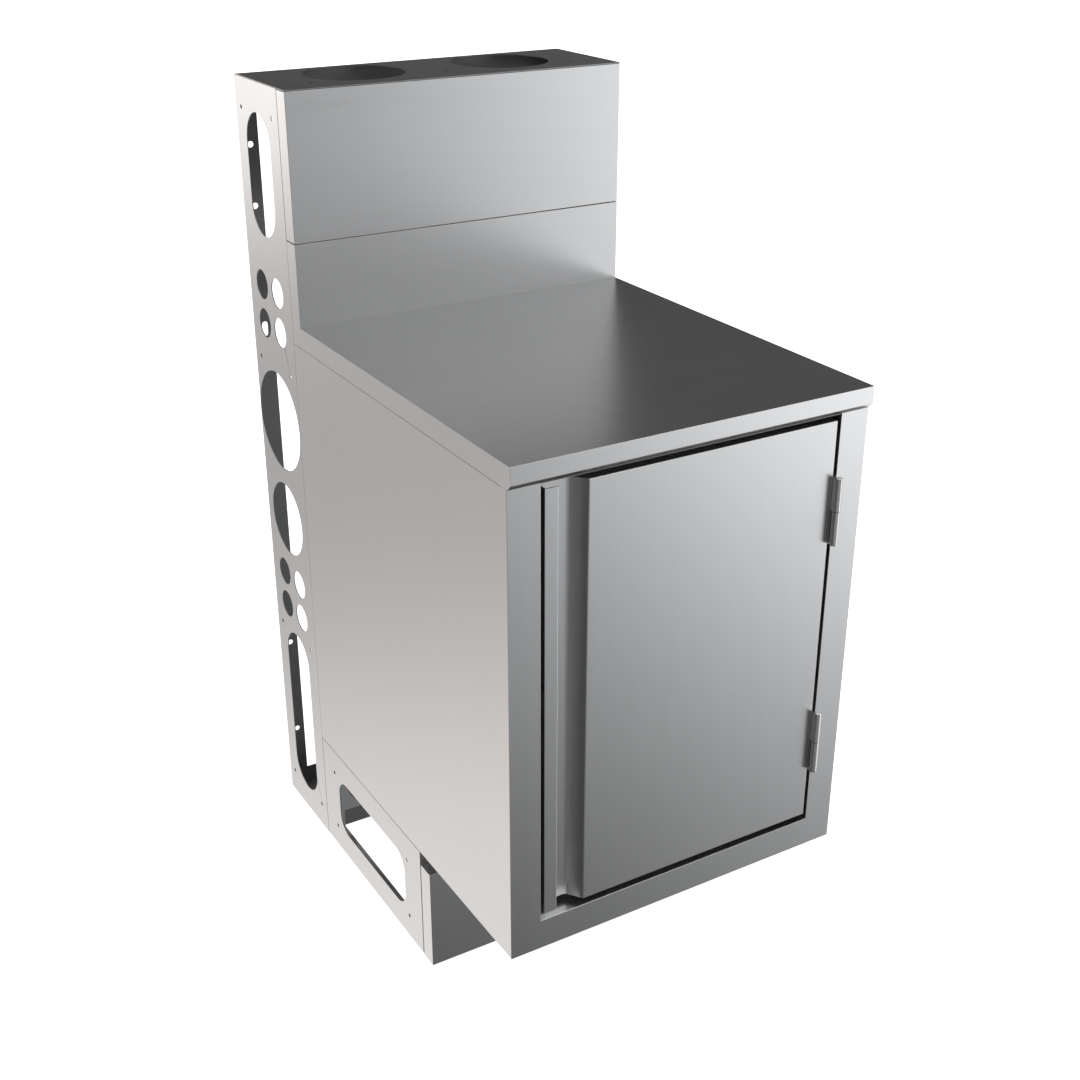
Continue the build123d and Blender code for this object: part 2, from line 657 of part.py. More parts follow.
def hinge(centre):
    """Door leaf, frame leaf, pin and washer of one lift-off barrel hinge."""
    low, high = centre - HINGE_HALF, centre + HINGE_HALF
    half = WASHER / 2
    door_leaf = hinge_leaf((DOOR_HALF, DOOR_HALF + LEAF), centre, (centre + half, high),
                           (centre - 1, high - BARREL_CAP))
    frame_leaf = hinge_leaf((OPENING_HALF - LEAF, OPENING_HALF), centre, (low, centre - half),
                            (low + BARREL_CAP, centre + 1))
    pin = post(PIN_R, HINGE_X, HINGE_Y, (low + BARREL_CAP, high - BARREL_CAP - 1))
    washer = post(HINGE_R - 0.3, HINGE_X, HINGE_Y, (centre - half, centre + half - 0.1))
    washer -= post(PIN_R + RUNNING, HINGE_X, HINGE_Y, (centre - 2, centre + 2))
    return door_leaf, frame_leaf, pin, washer


def pilaster(side, y):
    """Slotted shelf standard on the liner's side wall."""
    face = CAVITY_HALF - PILASTER_DEPTH
    outer = sorted((side * face, side * CAVITY_HALF))
    half = PILASTER_WIDTH / 2
    strip = block(outer, (y - half, y + half), PILASTER_Z)
    core = sorted((side * (face + SHEET), side * (CAVITY_HALF + 1)))
    strip -= block(core, (y - half + SHEET, y + half - SHEET), (0, CHASE_TOP))
    slots = int((PILASTER_Z[1] - PILASTER_Z[0]) / PILASTER_STEP)
    for number in range(slots):
        z = PILASTER_Z[0] + PILASTER_STEP * (number + 0.5)
        cut = sorted((side * (face - 1), side * (face + 2 * SHEET)))
        half_width, half_height = PILASTER_SLOT
        strip -= block(cut, (y - half_width, y + half_width), (z - half_height, z + half_height))
    return strip


def shelf_clip(side, y, shelf_z):
    """Clip on a standard: a back plate and the foot that a shelf rod rests on."""
    face = CAVITY_HALF - PILASTER_DEPTH
    under = shelf_z - SHELF_ROD
    clip_y = (y - CLIP_WIDTH / 2, y + CLIP_WIDTH / 2)
    plate_z = (under + CLIP_PLATE[0], under + CLIP_PLATE[1])
    plate = block(sorted((side * (face - SHEET), side * face)), clip_y, plate_z)
    foot_x = sorted((side * (SHELF_HALF - CLIP_WIDTH / 2), side * face))
    return one(plate, block(foot_x, clip_y, (under - SHEET, under)))


def shelf(z):
    """Wire shelf: a rod frame, a middle rod and thinner wires from front to back."""
    edge = SHELF_HALF - SHELF_ROD
    front, back = SHELF_Y[0] + SHELF_ROD, SHELF_Y[1] - SHELF_ROD
    rods = [bar_y(SHELF_ROD, side * edge, SHELF_Y, z) for side in (-1, 1)]
    for y in (front, (front + back) / 2, back):
        rods.append(bar_x(SHELF_CROSS, (-edge, edge), y, z))
    pitch = 2 * edge / (SHELF_WIRES + 1)
    for number in range(1, SHELF_WIRES + 1):
        rods.append(bar_y(SHELF_WIRE, -edge + number * pitch, (front, back), z + SHELF_WIRE_RISE))
    return one(*rods)


def unit_screw_places():
    """Places of the screws that hang the evaporator unit, one in each corner of its flanges."""
    return [(side * (UNIT_HALF + UNIT_FLANGE / 2), y) for side in (-1, 1)
            for y in (UNIT_Y[0] + UNIT_SCREW_INSET, UNIT_Y[1] - UNIT_SCREW_INSET)]


def evaporator_housing():
    """Folded cover of the evaporator unit: front with the fan opening, slotted sides, ceiling flanges."""
    line = [
        (-UNIT_HALF, UNIT_Y[1]),
        (-UNIT_HALF, UNIT_Y[0]),
        (UNIT_HALF, UNIT_Y[0]),
        (UNIT_HALF, UNIT_Y[1]),
    ]
    cover = folded_along_z(line, SHEET, (UNIT_BOTTOM, CAVITY_CEILING))
    flange_z = (CAVITY_CEILING - SHEET, CAVITY_CEILING)
    for side in (-1, 1):
        x = sorted((side * (UNIT_HALF - SHEET), side * (UNIT_HALF + UNIT_FLANGE)))
        cover += block(x, UNIT_Y, flange_z)
        cut = sorted((side * (UNIT_HALF - 2 * SHEET), side * (UNIT_HALF + SHEET)))
        for row in range(LOUVRES):
            z = UNIT_BOTTOM + LOUVRE_FIRST + row * LOUVRE_STEP
            cut_y = (UNIT_Y[0] + LOUVRE_INSET, UNIT_Y[1] - LOUVRE_INSET)
            cover -= block(cut, cut_y, (z, z + LOUVRE_HEIGHT))
    front = (UNIT_Y[0] - SHEET, UNIT_Y[0] + 2 * SHEET)
    cover -= bar_y(FAN_OPENING_R, FAN_X, front, FAN_Z)
    cover -= bar_y(SHAFT_R + 0.5, KNOB_X, front, KNOB_Z)
    for x, y in unit_screw_places():
        cover -= post(UNIT_SCREW_R, x, y, (CAVITY_CEILING - 2 * SHEET, CAVITY_CEILING + 1))
    return cover


def unit_screw(x, y):
    """Pan-head screw that hangs the evaporator unit from the ceiling."""
    radius, height = UNIT_SCREW_HEAD
    seat = CAVITY_CEILING - SHEET
    head = post(radius, x, y, (seat - height, seat))
    shank = post(UNIT_SCREW_R, x, y, (seat, CAVITY_CEILING + UNIT_SCREW_LENGTH - 2))
    return one(head, shank)


def return_bend(x, y, z, turn):
    """Half-torus bend at one end of the coil, centred between two passes; turn lays it over."""
    side = 1 if x > 0 else -1
    outside = block(sorted((x, x + side * 2 * COIL_STEP)), (y - COIL_STEP, y + COIL_STEP),
                    (z - COIL_STEP, z + COIL_STEP))
    ring = Pos(x, y, z) * Rot(90 - turn, 0, 0) * Torus(COIL_STEP / 2, TUBE_R)
    return ring & outside


def evaporator_coil():
    """Fin block with six tube passes, their return bends and the hangers at both ends."""
    pitch = 2 * (COIL_HALF - FIN_INSET) / (FINS - 1)
    columns = (COIL_COLUMN, COIL_COLUMN + COIL_STEP)
    rows = [COIL_ROW + COIL_STEP * number for number in range(3)]
    solids = [bar_x(TUBE_R, (-COIL_HALF, COIL_HALF), y, z) for y in columns for z in rows]
    for number in range(FINS):
        x = -COIL_HALF + FIN_INSET + number * pitch
        solids.append(block((x - FIN_HALF, x + FIN_HALF), COIL_Y, COIL_Z))
    for y in columns:
        solids.append(return_bend(-COIL_HALF, y, rows[0] + COIL_STEP / 2, 0))
        solids.append(return_bend(COIL_HALF, y, rows[1] + COIL_STEP / 2, 0))
    solids.append(return_bend(-COIL_HALF, COIL_COLUMN + COIL_STEP / 2, rows[2], 90))
    hanger_y = (COIL_Y[0] + 12, COIL_Y[1] - 12)
    for x in (-COIL_HALF + HANGER_INSET, COIL_HALF - HANGER_INSET):
        solids.append(block((x - 1, x + 1), hanger_y, (COIL_Z[0] + 10, CAVITY_CEILING)))
        solids.append(block((x - 8, x + 8), hanger_y, (CAVITY_CEILING - SHEET, CAVITY_CEILING)))
    return one(*solids)


def fan_bracket():
    """Strap that carries the fan motor behind the fan opening."""
    arm = FAN_OPENING_R + STRAP_HALF + 1.0
    front = UNIT_Y[0] + SHEET
    back = MOTOR_Y[1] + STRAP
    z = (FAN_Z - STRAP_HALF, FAN_Z + STRAP_HALF)
    parts = [block((FAN_X - arm, FAN_X + arm), (MOTOR_Y[1], back), z)]
    for side in (-1, 1):
        inner = FAN_X + side * (arm - STRAP)
        parts.append(block(sorted((FAN_X + side * arm, inner)), (front, back), z))
        foot = sorted((inner, inner + side * STRAP_FOOT))
        parts.append(block(foot, (front, front + STRAP), z))
    return one(*parts)


def fan_motor():
    """Small fan motor with a blind bore for its shaft and a stepped front boss."""
    body = bar_y(MOTOR_R, FAN_X, MOTOR_Y, FAN_Z)
    boss = bar_y(BOSS_R, FAN_X, (BOSS_FRONT, MOTOR_Y[0]), FAN_Z)
    return one(body, boss) - bar_y(SHAFT_R + RUNNING, FAN_X, (FAN_HUB_Y[1], SHAFT_END + 1), FAN_Z)


def fan_shaft():
    """Shaft of the fan, running in the motor."""
    return bar_y(SHAFT_R, FAN_X, (FAN_HUB_Y[0], SHAFT_END), FAN_Z)


def fan_blade():
    """Five pitched blades on a hub."""
    front, back = FAN_HUB_Y
    blades = [bar_y(12.0, FAN_X, FAN_HUB_Y, FAN_Z)]
    for number in range(BLADES):
        paddle = Pos(28.0, 0, 0) * Rot(BLADE_TWIST, 0, 0) * Box(34.0, 1.4, 24.0)
        turned = Rot(0, 360 / BLADES * number, 0) * paddle
        blades.append(Pos(FAN_X, (front + back) / 2, FAN_Z) * turned)
    wheel = one(*blades) & bar_y(FAN_BLADE_R, FAN_X, (front - 1, back + 1), FAN_Z)
    return wheel - bar_y(SHAFT_R, FAN_X, (front - 5, back + 5), FAN_Z)


def fan_guard():
    """Wire guard in front of the fan opening: concentric rings on four spokes."""
    y = UNIT_Y[0] - 2.0
    solids = [bar_y(9.0, FAN_X, (y - 1.5, y + 1.5), FAN_Z)]
    for radius in GUARD_RINGS:
        solids.append(Pos(FAN_X, y, FAN_Z) * Rot(90, 0, 0) * Torus(radius, GUARD_WIRE))
    for quarter in range(4):
        angle = 45 + 90 * quarter
        spoke = Pos(31.0, 0, 0) * Rot(0, 90, 0) * Cylinder(GUARD_SPOKE, 50.0)
        solids.append(Pos(FAN_X, y, FAN_Z) * Rot(0, angle, 0) * spoke)
    return one(*solids)


def thermostat_body():
    """Thermostat behind the housing's front, with a bore for its spindle."""
    half_x, half_z = THERMOSTAT_HALF
    body_x = (KNOB_X - half_x, KNOB_X + half_x)
    body = block(body_x, (UNIT_Y[0] + SHEET, THERMOSTAT_BACK), (KNOB_Z - half_z, KNOB_Z + half_z))
    return body - bar_y(SHAFT_R + RUNNING, KNOB_X, (UNIT_Y[0] - 1, SPINDLE_BACK + 2), KNOB_Z)


def thermostat_knob():
    """Control knob with a grip bar across its face and a spindle."""
    rim = UNIT_Y[0] - 0.8
    face = rim - KNOB_THICK
    disc = bar_y(KNOB_R, KNOB_X, (face, rim), KNOB_Z)
    bar_z = (KNOB_Z - KNOB_R + 2, KNOB_Z + KNOB_R - 2)
    bar = block((KNOB_X - 3.5, KNOB_X + 3.5), (face - KNOB_THICK, face), bar_z)
    spindle = bar_y(SHAFT_R, KNOB_X, (rim, SPINDLE_BACK), KNOB_Z)
    return one(disc, bar, spindle)


def drip_pan():
    """Tray under the coil, hung just below the housing."""
    x = (-UNIT_HALF + 3, UNIT_HALF - 3)
    y = (UNIT_Y[0] + 3, UNIT_Y[1] - 3)
    z = (UNIT_BOTTOM - PAN_BELOW, UNIT_BOTTOM + PAN_ABOVE)
    tray = block(x, y, z)
    tray -= block((x[0] + SHEET, x[1] - SHEET), (y[0] + SHEET, y[1] - SHEET), (z[0] + SHEET, z[1] + 1))
    return tray - post(DRAIN_R, 0, DRAIN_Y, (z[0] - 1, z[0] + 2 * SHEET))


def pipe(radius, bore, corners, bend):
    """A round tube along straight runs joined by bends."""
    path = FilletPolyline(*corners, radius=bend)
    start = Plane(origin=path @ 0, z_dir=path % 0)
    outer = sweep(start * Circle(radius), path=path)
    return outer - sweep(start * Circle(bore), path=path)


def drain_tube():
    """Drain from the drip pan down and out through the cabinet's back into the chase."""
    top = UNIT_BOTTOM - PAN_BELOW + SHEET
    corners = [(0, DRAIN_Y, top), (0, DRAIN_Y, DRAIN_Z), (0, DRAIN_END, DRAIN_Z)]
    return pipe(DRAIN_R, DRAIN_R - 1.5, corners, 12.0)


def suction_line():
    """Suction line from the coil's outlet through the back into the chase."""
    y = COIL_COLUMN + COIL_STEP
    corners = [(COIL_HALF, y, SUCTION_Z), (LINE_X, y, SUCTION_Z), (LINE_X, LINE_END, SUCTION_Z)]
    return pipe(SUCTION_R, SUCTION_R - 1.0, corners, 8.0)


def liquid_line():
    """Liquid line from the chase to the expansion valve."""
    return bar_y(LIQUID_R, LINE_X, (VALVE_Y[1], LINE_END), LIQUID_Z)


def valve_outlet():
    """Short tube from the expansion valve to the coil's inlet."""
    corners = [
        (COIL_HALF, COIL_COLUMN, COIL_ROW),
        (LINE_X, COIL_COLUMN, COIL_ROW),
        (LINE_X, COIL_COLUMN, LIQUID_Z),
        (LINE_X, VALVE_Y[0], LIQUID_Z),
    ]
    return pipe(LIQUID_R, LIQUID_R - 0.8, corners, 7.0)


def expansion_valve():
    """Thermostatic expansion valve: a brass body with a round power head."""
    middle = sum(VALVE_Y) / 2
    body = bar_y(7.5, LINE_X, VALVE_Y, LIQUID_Z)
    neck = post(4.0, LINE_X, middle, (LIQUID_Z, LIQUID_Z + 14))
    head = post(9.0, LINE_X, middle, (LIQUID_Z + 12, LIQUID_Z + 19))
    return one(body, neck, head)


def flare_cap(radius, z):
    """Hexagonal flare nut and cap on the end of a refrigerant line."""
    hexagon = Plane.XZ * RegularPolygon(radius + FLARE_WIDER, 6)
    nut = Pos(LINE_X, LINE_END + FLARE_LENGTH / 2, z) * extrude(hexagon, FLARE_LENGTH)
    return nut - bar_y(radius, LINE_X, (LINE_END - 10, LINE_END), z)


os.makedirs("parts", exist_ok=True)

write("chase_side_left", chase_side())
write("chase_side_right", on_right(chase_side()))
write("chase_top_plate", chase_top_plate())
write("chase_base_tray", chase_base_tray())
write("upper_front_panel", upper_front_panel())
write("panel_clips", *[panel_clip(side, z) for side in (-1, 1) for z in CLIP_Z])
write("worktop", worktop())
write("worktop_stiffener_left", worktop_stiffener(-1))
write("worktop_stiffener_right", worktop_stiffener(1))

write("cabinet_wrapper", cabinet_wrapper())
write("cabinet_roof", cabinet_roof())
write("cabinet_back", cabinet_back())
write("face_frame", face_frame())
write("breaker_frame", breaker_frame())
write("inner_liner", inner_liner())
write("insulation_foam", insulation_foam())

write("base_side_left", base_side())
write("base_side_right", on_right(base_side()))
write("base_back", base_back())
write("base_front_rail", base_front_rail())
write("kick_plate", kick_plate())
write("kick_clips", *[kick_clip(side) for side in (-1, 1)])

write("door_skin", door_skin())
write("door_grip", door_grip())
write("door_foam", door_foam())
write("door_liner", door_liner())
write("door_gasket", door_gasket())

door_middle = (DOOR_BOTTOM + DOOR_TOP) / 2
for place, centre in (("upper", door_middle + HINGE_SPREAD), ("lower", door_middle - HINGE_SPREAD)):
    door_leaf, frame_leaf, pin, washer = hinge(centre)
    write("hinge_door_leaf_" + place, door_leaf)
    write("hinge_frame_leaf_" + place, frame_leaf)
    write("hinge_pin_" + place, pin)
    write("hinge_washer_" + place, washer)

for number, (side, y) in enumerate([(-1, PILASTER_Y[0]), (-1, PILASTER_Y[1]),
                                    (1, PILASTER_Y[0]), (1, PILASTER_Y[1])], start=1):
    write("shelf_pilaster_%d" % number, pilaster(side, y))
write("shelf_clips", *[shelf_clip(side, y, z) for z in SHELF_Z for side in (-1, 1) for y in PILASTER_Y])
write("shelf_lower", shelf(SHELF_Z[0]))
write("shelf_upper", shelf(SHELF_Z[1]))

write("evaporator_housing", evaporator_housing())
write("unit_screws", *[unit_screw(x, y) for x, y in unit_screw_places()])
write("evaporator_coil", evaporator_coil())
write("fan_bracket", fan_bracket())
write("fan_motor", fan_motor())
write("fan_shaft", fan_shaft())
write("fan_blade", fan_blade())
write("fan_guard", fan_guard())
write("thermostat_body", thermostat_body())
write("thermostat_knob", thermostat_knob())
write("drip_pan", drip_pan())
write("drain_tube", drain_tube())
write("suction_line", suction_line())
write("liquid_line", liquid_line())
write("valve_outlet", valve_outlet())
write("expansion_valve", expansion_valve())
write("service_grommets", service_grommet(SUCTION_R, LINE_X, SUCTION_Z),
      service_grommet(LIQUID_R, LINE_X, LIQUID_Z), service_grommet(DRAIN_R, 0, DRAIN_Z))
write("flare_caps", flare_cap(SUCTION_R, SUCTION_Z), flare_cap(LIQUID_R, LIQUID_Z))
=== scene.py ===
# %% [markdown]
# # An undercounter refrigerator in satin stainless steel
# The machine's sizes and joints already exist as a fixed frame. This lesson adds what the eye needs:
# soft bends on the folded sheets, grain in the steel, a rubber gasket, a real fan wheel and soft light.
# Everything is in metres and stays where the frame says, so no piece is ever fitted by eye.

# %% Load the frame
import json
from math import radians

import bmesh
import bpy
from mathutils import Matrix, Vector


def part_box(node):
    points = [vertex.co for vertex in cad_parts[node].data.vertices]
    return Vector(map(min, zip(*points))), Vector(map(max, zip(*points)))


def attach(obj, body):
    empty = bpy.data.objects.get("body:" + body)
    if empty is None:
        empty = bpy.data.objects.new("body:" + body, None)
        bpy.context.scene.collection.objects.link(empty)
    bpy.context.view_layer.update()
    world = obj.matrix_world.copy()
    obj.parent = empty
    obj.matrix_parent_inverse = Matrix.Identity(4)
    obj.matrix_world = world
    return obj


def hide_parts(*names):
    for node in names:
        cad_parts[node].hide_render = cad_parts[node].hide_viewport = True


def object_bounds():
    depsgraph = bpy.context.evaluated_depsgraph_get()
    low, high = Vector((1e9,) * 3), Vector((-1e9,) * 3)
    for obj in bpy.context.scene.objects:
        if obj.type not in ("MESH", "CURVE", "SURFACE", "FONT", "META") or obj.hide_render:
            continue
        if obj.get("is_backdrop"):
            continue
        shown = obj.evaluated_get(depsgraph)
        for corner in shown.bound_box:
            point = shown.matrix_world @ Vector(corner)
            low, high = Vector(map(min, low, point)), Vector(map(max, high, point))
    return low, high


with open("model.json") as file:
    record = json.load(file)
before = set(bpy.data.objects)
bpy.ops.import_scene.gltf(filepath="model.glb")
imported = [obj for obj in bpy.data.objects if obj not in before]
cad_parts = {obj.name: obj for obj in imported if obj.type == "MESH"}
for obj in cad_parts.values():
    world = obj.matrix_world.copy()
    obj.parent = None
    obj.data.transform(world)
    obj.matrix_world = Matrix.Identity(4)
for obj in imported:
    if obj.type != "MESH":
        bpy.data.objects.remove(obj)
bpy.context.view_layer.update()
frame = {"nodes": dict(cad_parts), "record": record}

MM = 0.001
body_of = {node: body for body, nodes in frame["record"]["behaviour"]["bodies"].items() for node in nodes}

# %% [markdown]
# ## A short way to write shader maths
# A material is a graph of nodes. Wiring each Math node by hand hides the idea behind the plumbing, so
# this class wraps one output socket and gives it Python's operators: `0.3 + 0.1 * streak` adds two Math
# nodes. Colours don't pass through it, because a Math node would turn them grey.

# %% Numbers in a node tree
class Number:
    """One value output in a node tree; an operator on it adds a Math node."""

    def __init__(self, tree, socket):
        self.tree = tree
        self.socket = socket

    def math(self, operation, *values):
        node = self.tree.nodes.new("ShaderNodeMath")
        node.operation = operation
        for slot, value in zip(node.inputs, values):
            if isinstance(value, Number):
                self.tree.links.new(value.socket, slot)
            else:
                slot.default_value = value
        return Number(self.tree, node.outputs[0])

    def __add__(self, other):
        return self.math("ADD", self, other)

    __radd__ = __add__

    def __sub__(self, other):
        return self.math("SUBTRACT", self, other)

    def __rsub__(self, other):
        return self.math("SUBTRACT", other, self)

    def __mul__(self, other):
        return self.math("MULTIPLY", self, other)

    __rmul__ = __mul__

    def __gt__(self, other):
        return self.math("GREATER_THAN", self, other)

    def __abs__(self):
        return self.math("ABSOLUTE", self)

    def at_least(self, other):
        return self.math("MAXIMUM", self, other)

    def at_most(self, other):
        return self.math("MINIMUM", self, other)


# %% [markdown]
# ## A finish is a small graph with one shader
# `Graph.add` is the only place where a node is made: its type, then its settings, then what its sockets
# get. `Finish` starts every material with the same shader and output, and keeps the object's own
# coordinates and normal at hand, since every pattern here is tied to the piece and not to the view.

# %% Graphs and finishes
class Graph:
    """A node tree with one way to add a node."""

    def __init__(self, tree):
        self.tree = tree
        self.tree.nodes.clear()

    def feed(self, socket, value):
        if isinstance(value, Number):
            self.tree.links.new(value.socket, socket)
        elif isinstance(value, bpy.types.NodeSocket):
            self.tree.links.new(value, socket)
        else:
            socket.default_value = value

    def add(self, kind, settings=None, inputs=None):
        node = self.tree.nodes.new(kind)
        for name, value in (settings or {}).items():
            if name == "stops":
                ramp = node.color_ramp
                while len(ramp.elements) < len(value):
                    ramp.elements.new(0.5)
                for element, (place, colour) in zip(ramp.elements, value):
                    element.position = place
                    element.color = colour
            else:
                setattr(node, name, value)
        for name, value in (inputs or {}).items():
            self.feed(node.inputs[name], value)
        return node

    def number(self, node, output=0):
        return Number(self.tree, node.outputs[output])

    def split(self, socket):
        parts = self.add("ShaderNodeSeparateXYZ", inputs={"Vector": socket})
        return [self.number(parts, axis) for axis in "XYZ"]

    def join(self, *parts):
        return self.add("ShaderNodeCombineXYZ", inputs=dict(zip("XYZ", parts))).outputs[0]

    def noise(self, vector, scale, detail=2.0, roughness=0.5):
        node = self.add(
            "ShaderNodeTexNoise",
            inputs={"Vector": vector, "Scale": scale, "Detail": detail, "Roughness": roughness},
        )
        return self.number(node, "Fac")

    def blend(self, amount, first, second):
        node = self.add("ShaderNodeMix", {"data_type": "RGBA"}, {"Factor": amount})
        self.feed(node.inputs[6], first)
        self.feed(node.inputs[7], second)
        return node.outputs[2]


class Finish(Graph):
    """A material: one shader, fed by patterns that are worked out in the piece's own coordinates."""

    def __init__(self, name, **steady):
        self.material = bpy.data.materials.new(name)
        self.material.use_nodes = True
        super().__init__(self.material.node_tree)
        self.shader = self.add("ShaderNodeBsdfPrincipled")
        for name, value in steady.items():
            self.shader.inputs[name.replace("_", " ")].default_value = value
        self.add("ShaderNodeOutputMaterial", inputs={"Surface": self.shader.outputs[0]})
        coordinates = self.add("ShaderNodeTexCoord")
        self.place = coordinates.outputs["Object"]
        self.normal = coordinates.outputs["Normal"]

    def paint(self, **sockets):
        for name, value in sockets.items():
            self.feed(self.shader.inputs[name.replace("_", " ")], value)

    def bump(self, height, strength, distance):
        node = self.add(
            "ShaderNodeBump",
            inputs={"Height": height, "Strength": strength, "Distance": distance},
        )
        self.feed(self.shader.inputs["Normal"], node.outputs[0])


# %% [markdown]
# ## Satin stainless
# The sheets come from the mill with a belt-ground finish: fine parallel scratches that all run one way.
# A plain noise would look like sand, so the noise is read in two numbers, far across the grain and barely
# along it. Which way is along depends on which way the face looks, so three masks made from the normal
# pick the pair. The scratches change the roughness and the bump, and hardly the colour. Faces that were
# never ground keep the duller finish of the mill, in a far darker tone that is painted shade for the
# hollow they face. A cut edge is darker too: partly a laser's dull skin, partly painted shade for seams.

# %% The brushed steel finishes
GRAIN = {
    "upright": {"X": ("Y", "Z"), "Y": ("X", "Z"), "Z": ("Y", "X")},
    "level": {"X": ("Z", "Y"), "Y": ("Z", "X"), "Z": ("Y", "X")},
}


FACE_LOOKS = 0.6         # a normal's part along an axis, past which a face counts as looking that way
SCRATCH = (1400.0, 9.0)  # scratches a metre across the grain and along it
BAND = (90.0, 1.6)       # broader bands left by the width of the belt
HANDLING = 7.0           # clouds where hands and cloths have been
SCRATCH_DEPTH = 0.04 * MM


def grain_coordinates(finish, grain):
    """(across, along) for each face, chosen by the way it looks."""
    place = dict(zip("XYZ", finish.split(finish.place)))
    looks = dict(zip("XYZ", finish.split(finish.normal)))
    mask = {"X": abs(looks["X"]) > FACE_LOOKS, "Y": abs(looks["Y"]) > FACE_LOOKS}
    mask["Z"] = (1.0 - mask["X"] - mask["Y"]).at_least(0.0)
    across = sum(mask[face] * place[GRAIN[grain][face][0]] for face in "XYZ")
    along = sum(mask[face] * place[GRAIN[grain][face][1]] for face in "XYZ")
    return across, along


def satin(name, grain, tone, roughness, depth=1.0):
    """Belt-ground stainless with the grain upright or level."""
    finish = Finish(name, Metallic=1.0)
    across, along = grain_coordinates(finish, grain)
    scratches = finish.noise(finish.join(across * SCRATCH[0], along * SCRATCH[1], 0.0), 1.0, 3.0, 0.6)
    bands = finish.noise(finish.join(across * BAND[0], along * BAND[1], 0.0), 1.0, 2.0)
    handling = finish.noise(finish.place, HANDLING, 3.0)
    wear = 0.10 * (scratches - 0.5) + 0.04 * (bands - 0.5) + 0.05 * (handling - 0.5)
    bright = [value * 1.03 for value in tone] + [1.0]
    dull = [value * 0.95 for value in tone] + [1.0]
    amount = (0.6 * scratches + 0.4 * bands).at_most(1.0)
    finish.paint(Roughness=roughness + depth * wear, Base_Color=finish.blend(amount, dull, bright))
    finish.bump(scratches, 0.12 * depth, SCRATCH_DEPTH)
    return finish.material


STEEL = (0.64, 0.64, 0.64)
satin_upright = satin("satin_steel_upright", "upright", STEEL, 0.30, 0.75)
satin_level = satin("satin_steel_level", "level", STEEL, 0.29, 0.6)
satin_liner = satin("liner_steel", "upright", (0.66, 0.66, 0.655), 0.30, 0.8)
# The mill finish is duller, and its far darker tone is painted shade for the hollows it lines.
mill_and_painted_shade = satin("mill_finish_painted_shade", "upright", (0.26, 0.26, 0.265), 0.42, 0.5)
# Cut edges are darker: partly a laser's dull skin, partly painted shade for seams and holes.
cut_edge_and_seam_shade = satin("cut_edge_skin_and_seam_shade", "level", (0.30, 0.30, 0.305), 0.38, 0.5)
print("steel finishes:", len(bpy.data.materials))

# %% [markdown]
# ## The other finishes
# Galvanised sheet has a pattern of flat crystals, which a Voronoi texture gives directly. Plastics and
# rubber are rough with a fine leathery bump. Copper darkens in patches. Each finish gets its colour
# variation, its roughness variation and a bump at the size that the real material has.

# %% Galvanised sheet
CRYSTALS = 90.0  # zinc crystals a metre, so about 11 mm each


def galvanised():
    """Hot-dip zinc: each crystal has its own grey and its own sheen."""
    finish = Finish("galvanised_sheet", Metallic=0.9)
    cells = finish.add(
        "ShaderNodeTexVoronoi",
        {"feature": "F1"},
        {"Vector": finish.place, "Scale": CRYSTALS, "Randomness": 1.0},
    )
    crystal = finish.number(finish.add("ShaderNodeRGBToBW", inputs={"Color": cells.outputs["Color"]}))
    cloud = finish.noise(finish.place, 12.0, 3.0)
    finish.paint(
        Base_Color=finish.blend(crystal, (0.42, 0.44, 0.45, 1), (0.60, 0.62, 0.63, 1)),
        Roughness=0.34 + 0.18 * crystal + 0.08 * cloud,
    )
    finish.bump(crystal + 0.4 * cloud, 0.1, 0.1 * MM)
    return finish.material


zinc = galvanised()


# %% Plastics, rubber, foam and paint
def moulded(name, dark, light, roughness, grain=900.0, depth=0.06 * MM):
    """A moulded or sprayed surface: slight colour drift, uneven sheen and a fine even grain."""
    finish = Finish(name)
    drift = finish.noise(finish.place, 14.0, 3.0)
    fine = finish.noise(finish.place, grain, 2.0)
    finish.paint(
        Base_Color=finish.blend(drift, dark + (1.0,), light + (1.0,)),
        Roughness=roughness + 0.12 * (drift - 0.5) + 0.10 * (fine - 0.5),
    )
    finish.bump(fine, 0.3, depth)
    return finish.material


white_plastic = moulded("white_plastic", (0.70, 0.70, 0.68), (0.80, 0.80, 0.78), 0.42)
black_plastic = moulded("black_plastic", (0.018, 0.018, 0.019), (0.032, 0.032, 0.034), 0.45)
gasket_rubber = moulded("gasket_rubber", (0.022, 0.022, 0.023), (0.045, 0.045, 0.046), 0.62, 1400.0)
foam_skin = moulded("insulation_foam", (0.62, 0.50, 0.27), (0.78, 0.68, 0.42), 0.85, 260.0, 0.8 * MM)
fan_plastic = moulded("fan_plastic", (0.030, 0.034, 0.040), (0.055, 0.060, 0.068), 0.38)
motor_paint = moulded("motor_enamel", (0.020, 0.022, 0.026), (0.040, 0.043, 0.050), 0.32, 700.0)


# %% Bare metals of the small parts
TOOL_MARKS = 1600.0  # marks a metre


def bare_metal(name, dull, bright, roughness, spread=40.0):
    """A small metal part: patches of tarnish over fine tool marks."""
    finish = Finish(name, Metallic=1.0)
    patches = finish.noise(finish.place, spread, 4.0)
    marks = finish.noise(finish.place, TOOL_MARKS, 2.0)
    finish.paint(
        Base_Color=finish.blend(patches, dull + (1.0,), bright + (1.0,)),
        Roughness=roughness + 0.14 * (patches - 0.5) + 0.10 * (marks - 0.5),
    )
    finish.bump(marks, 0.15, 0.03 * MM)
    return finish.material


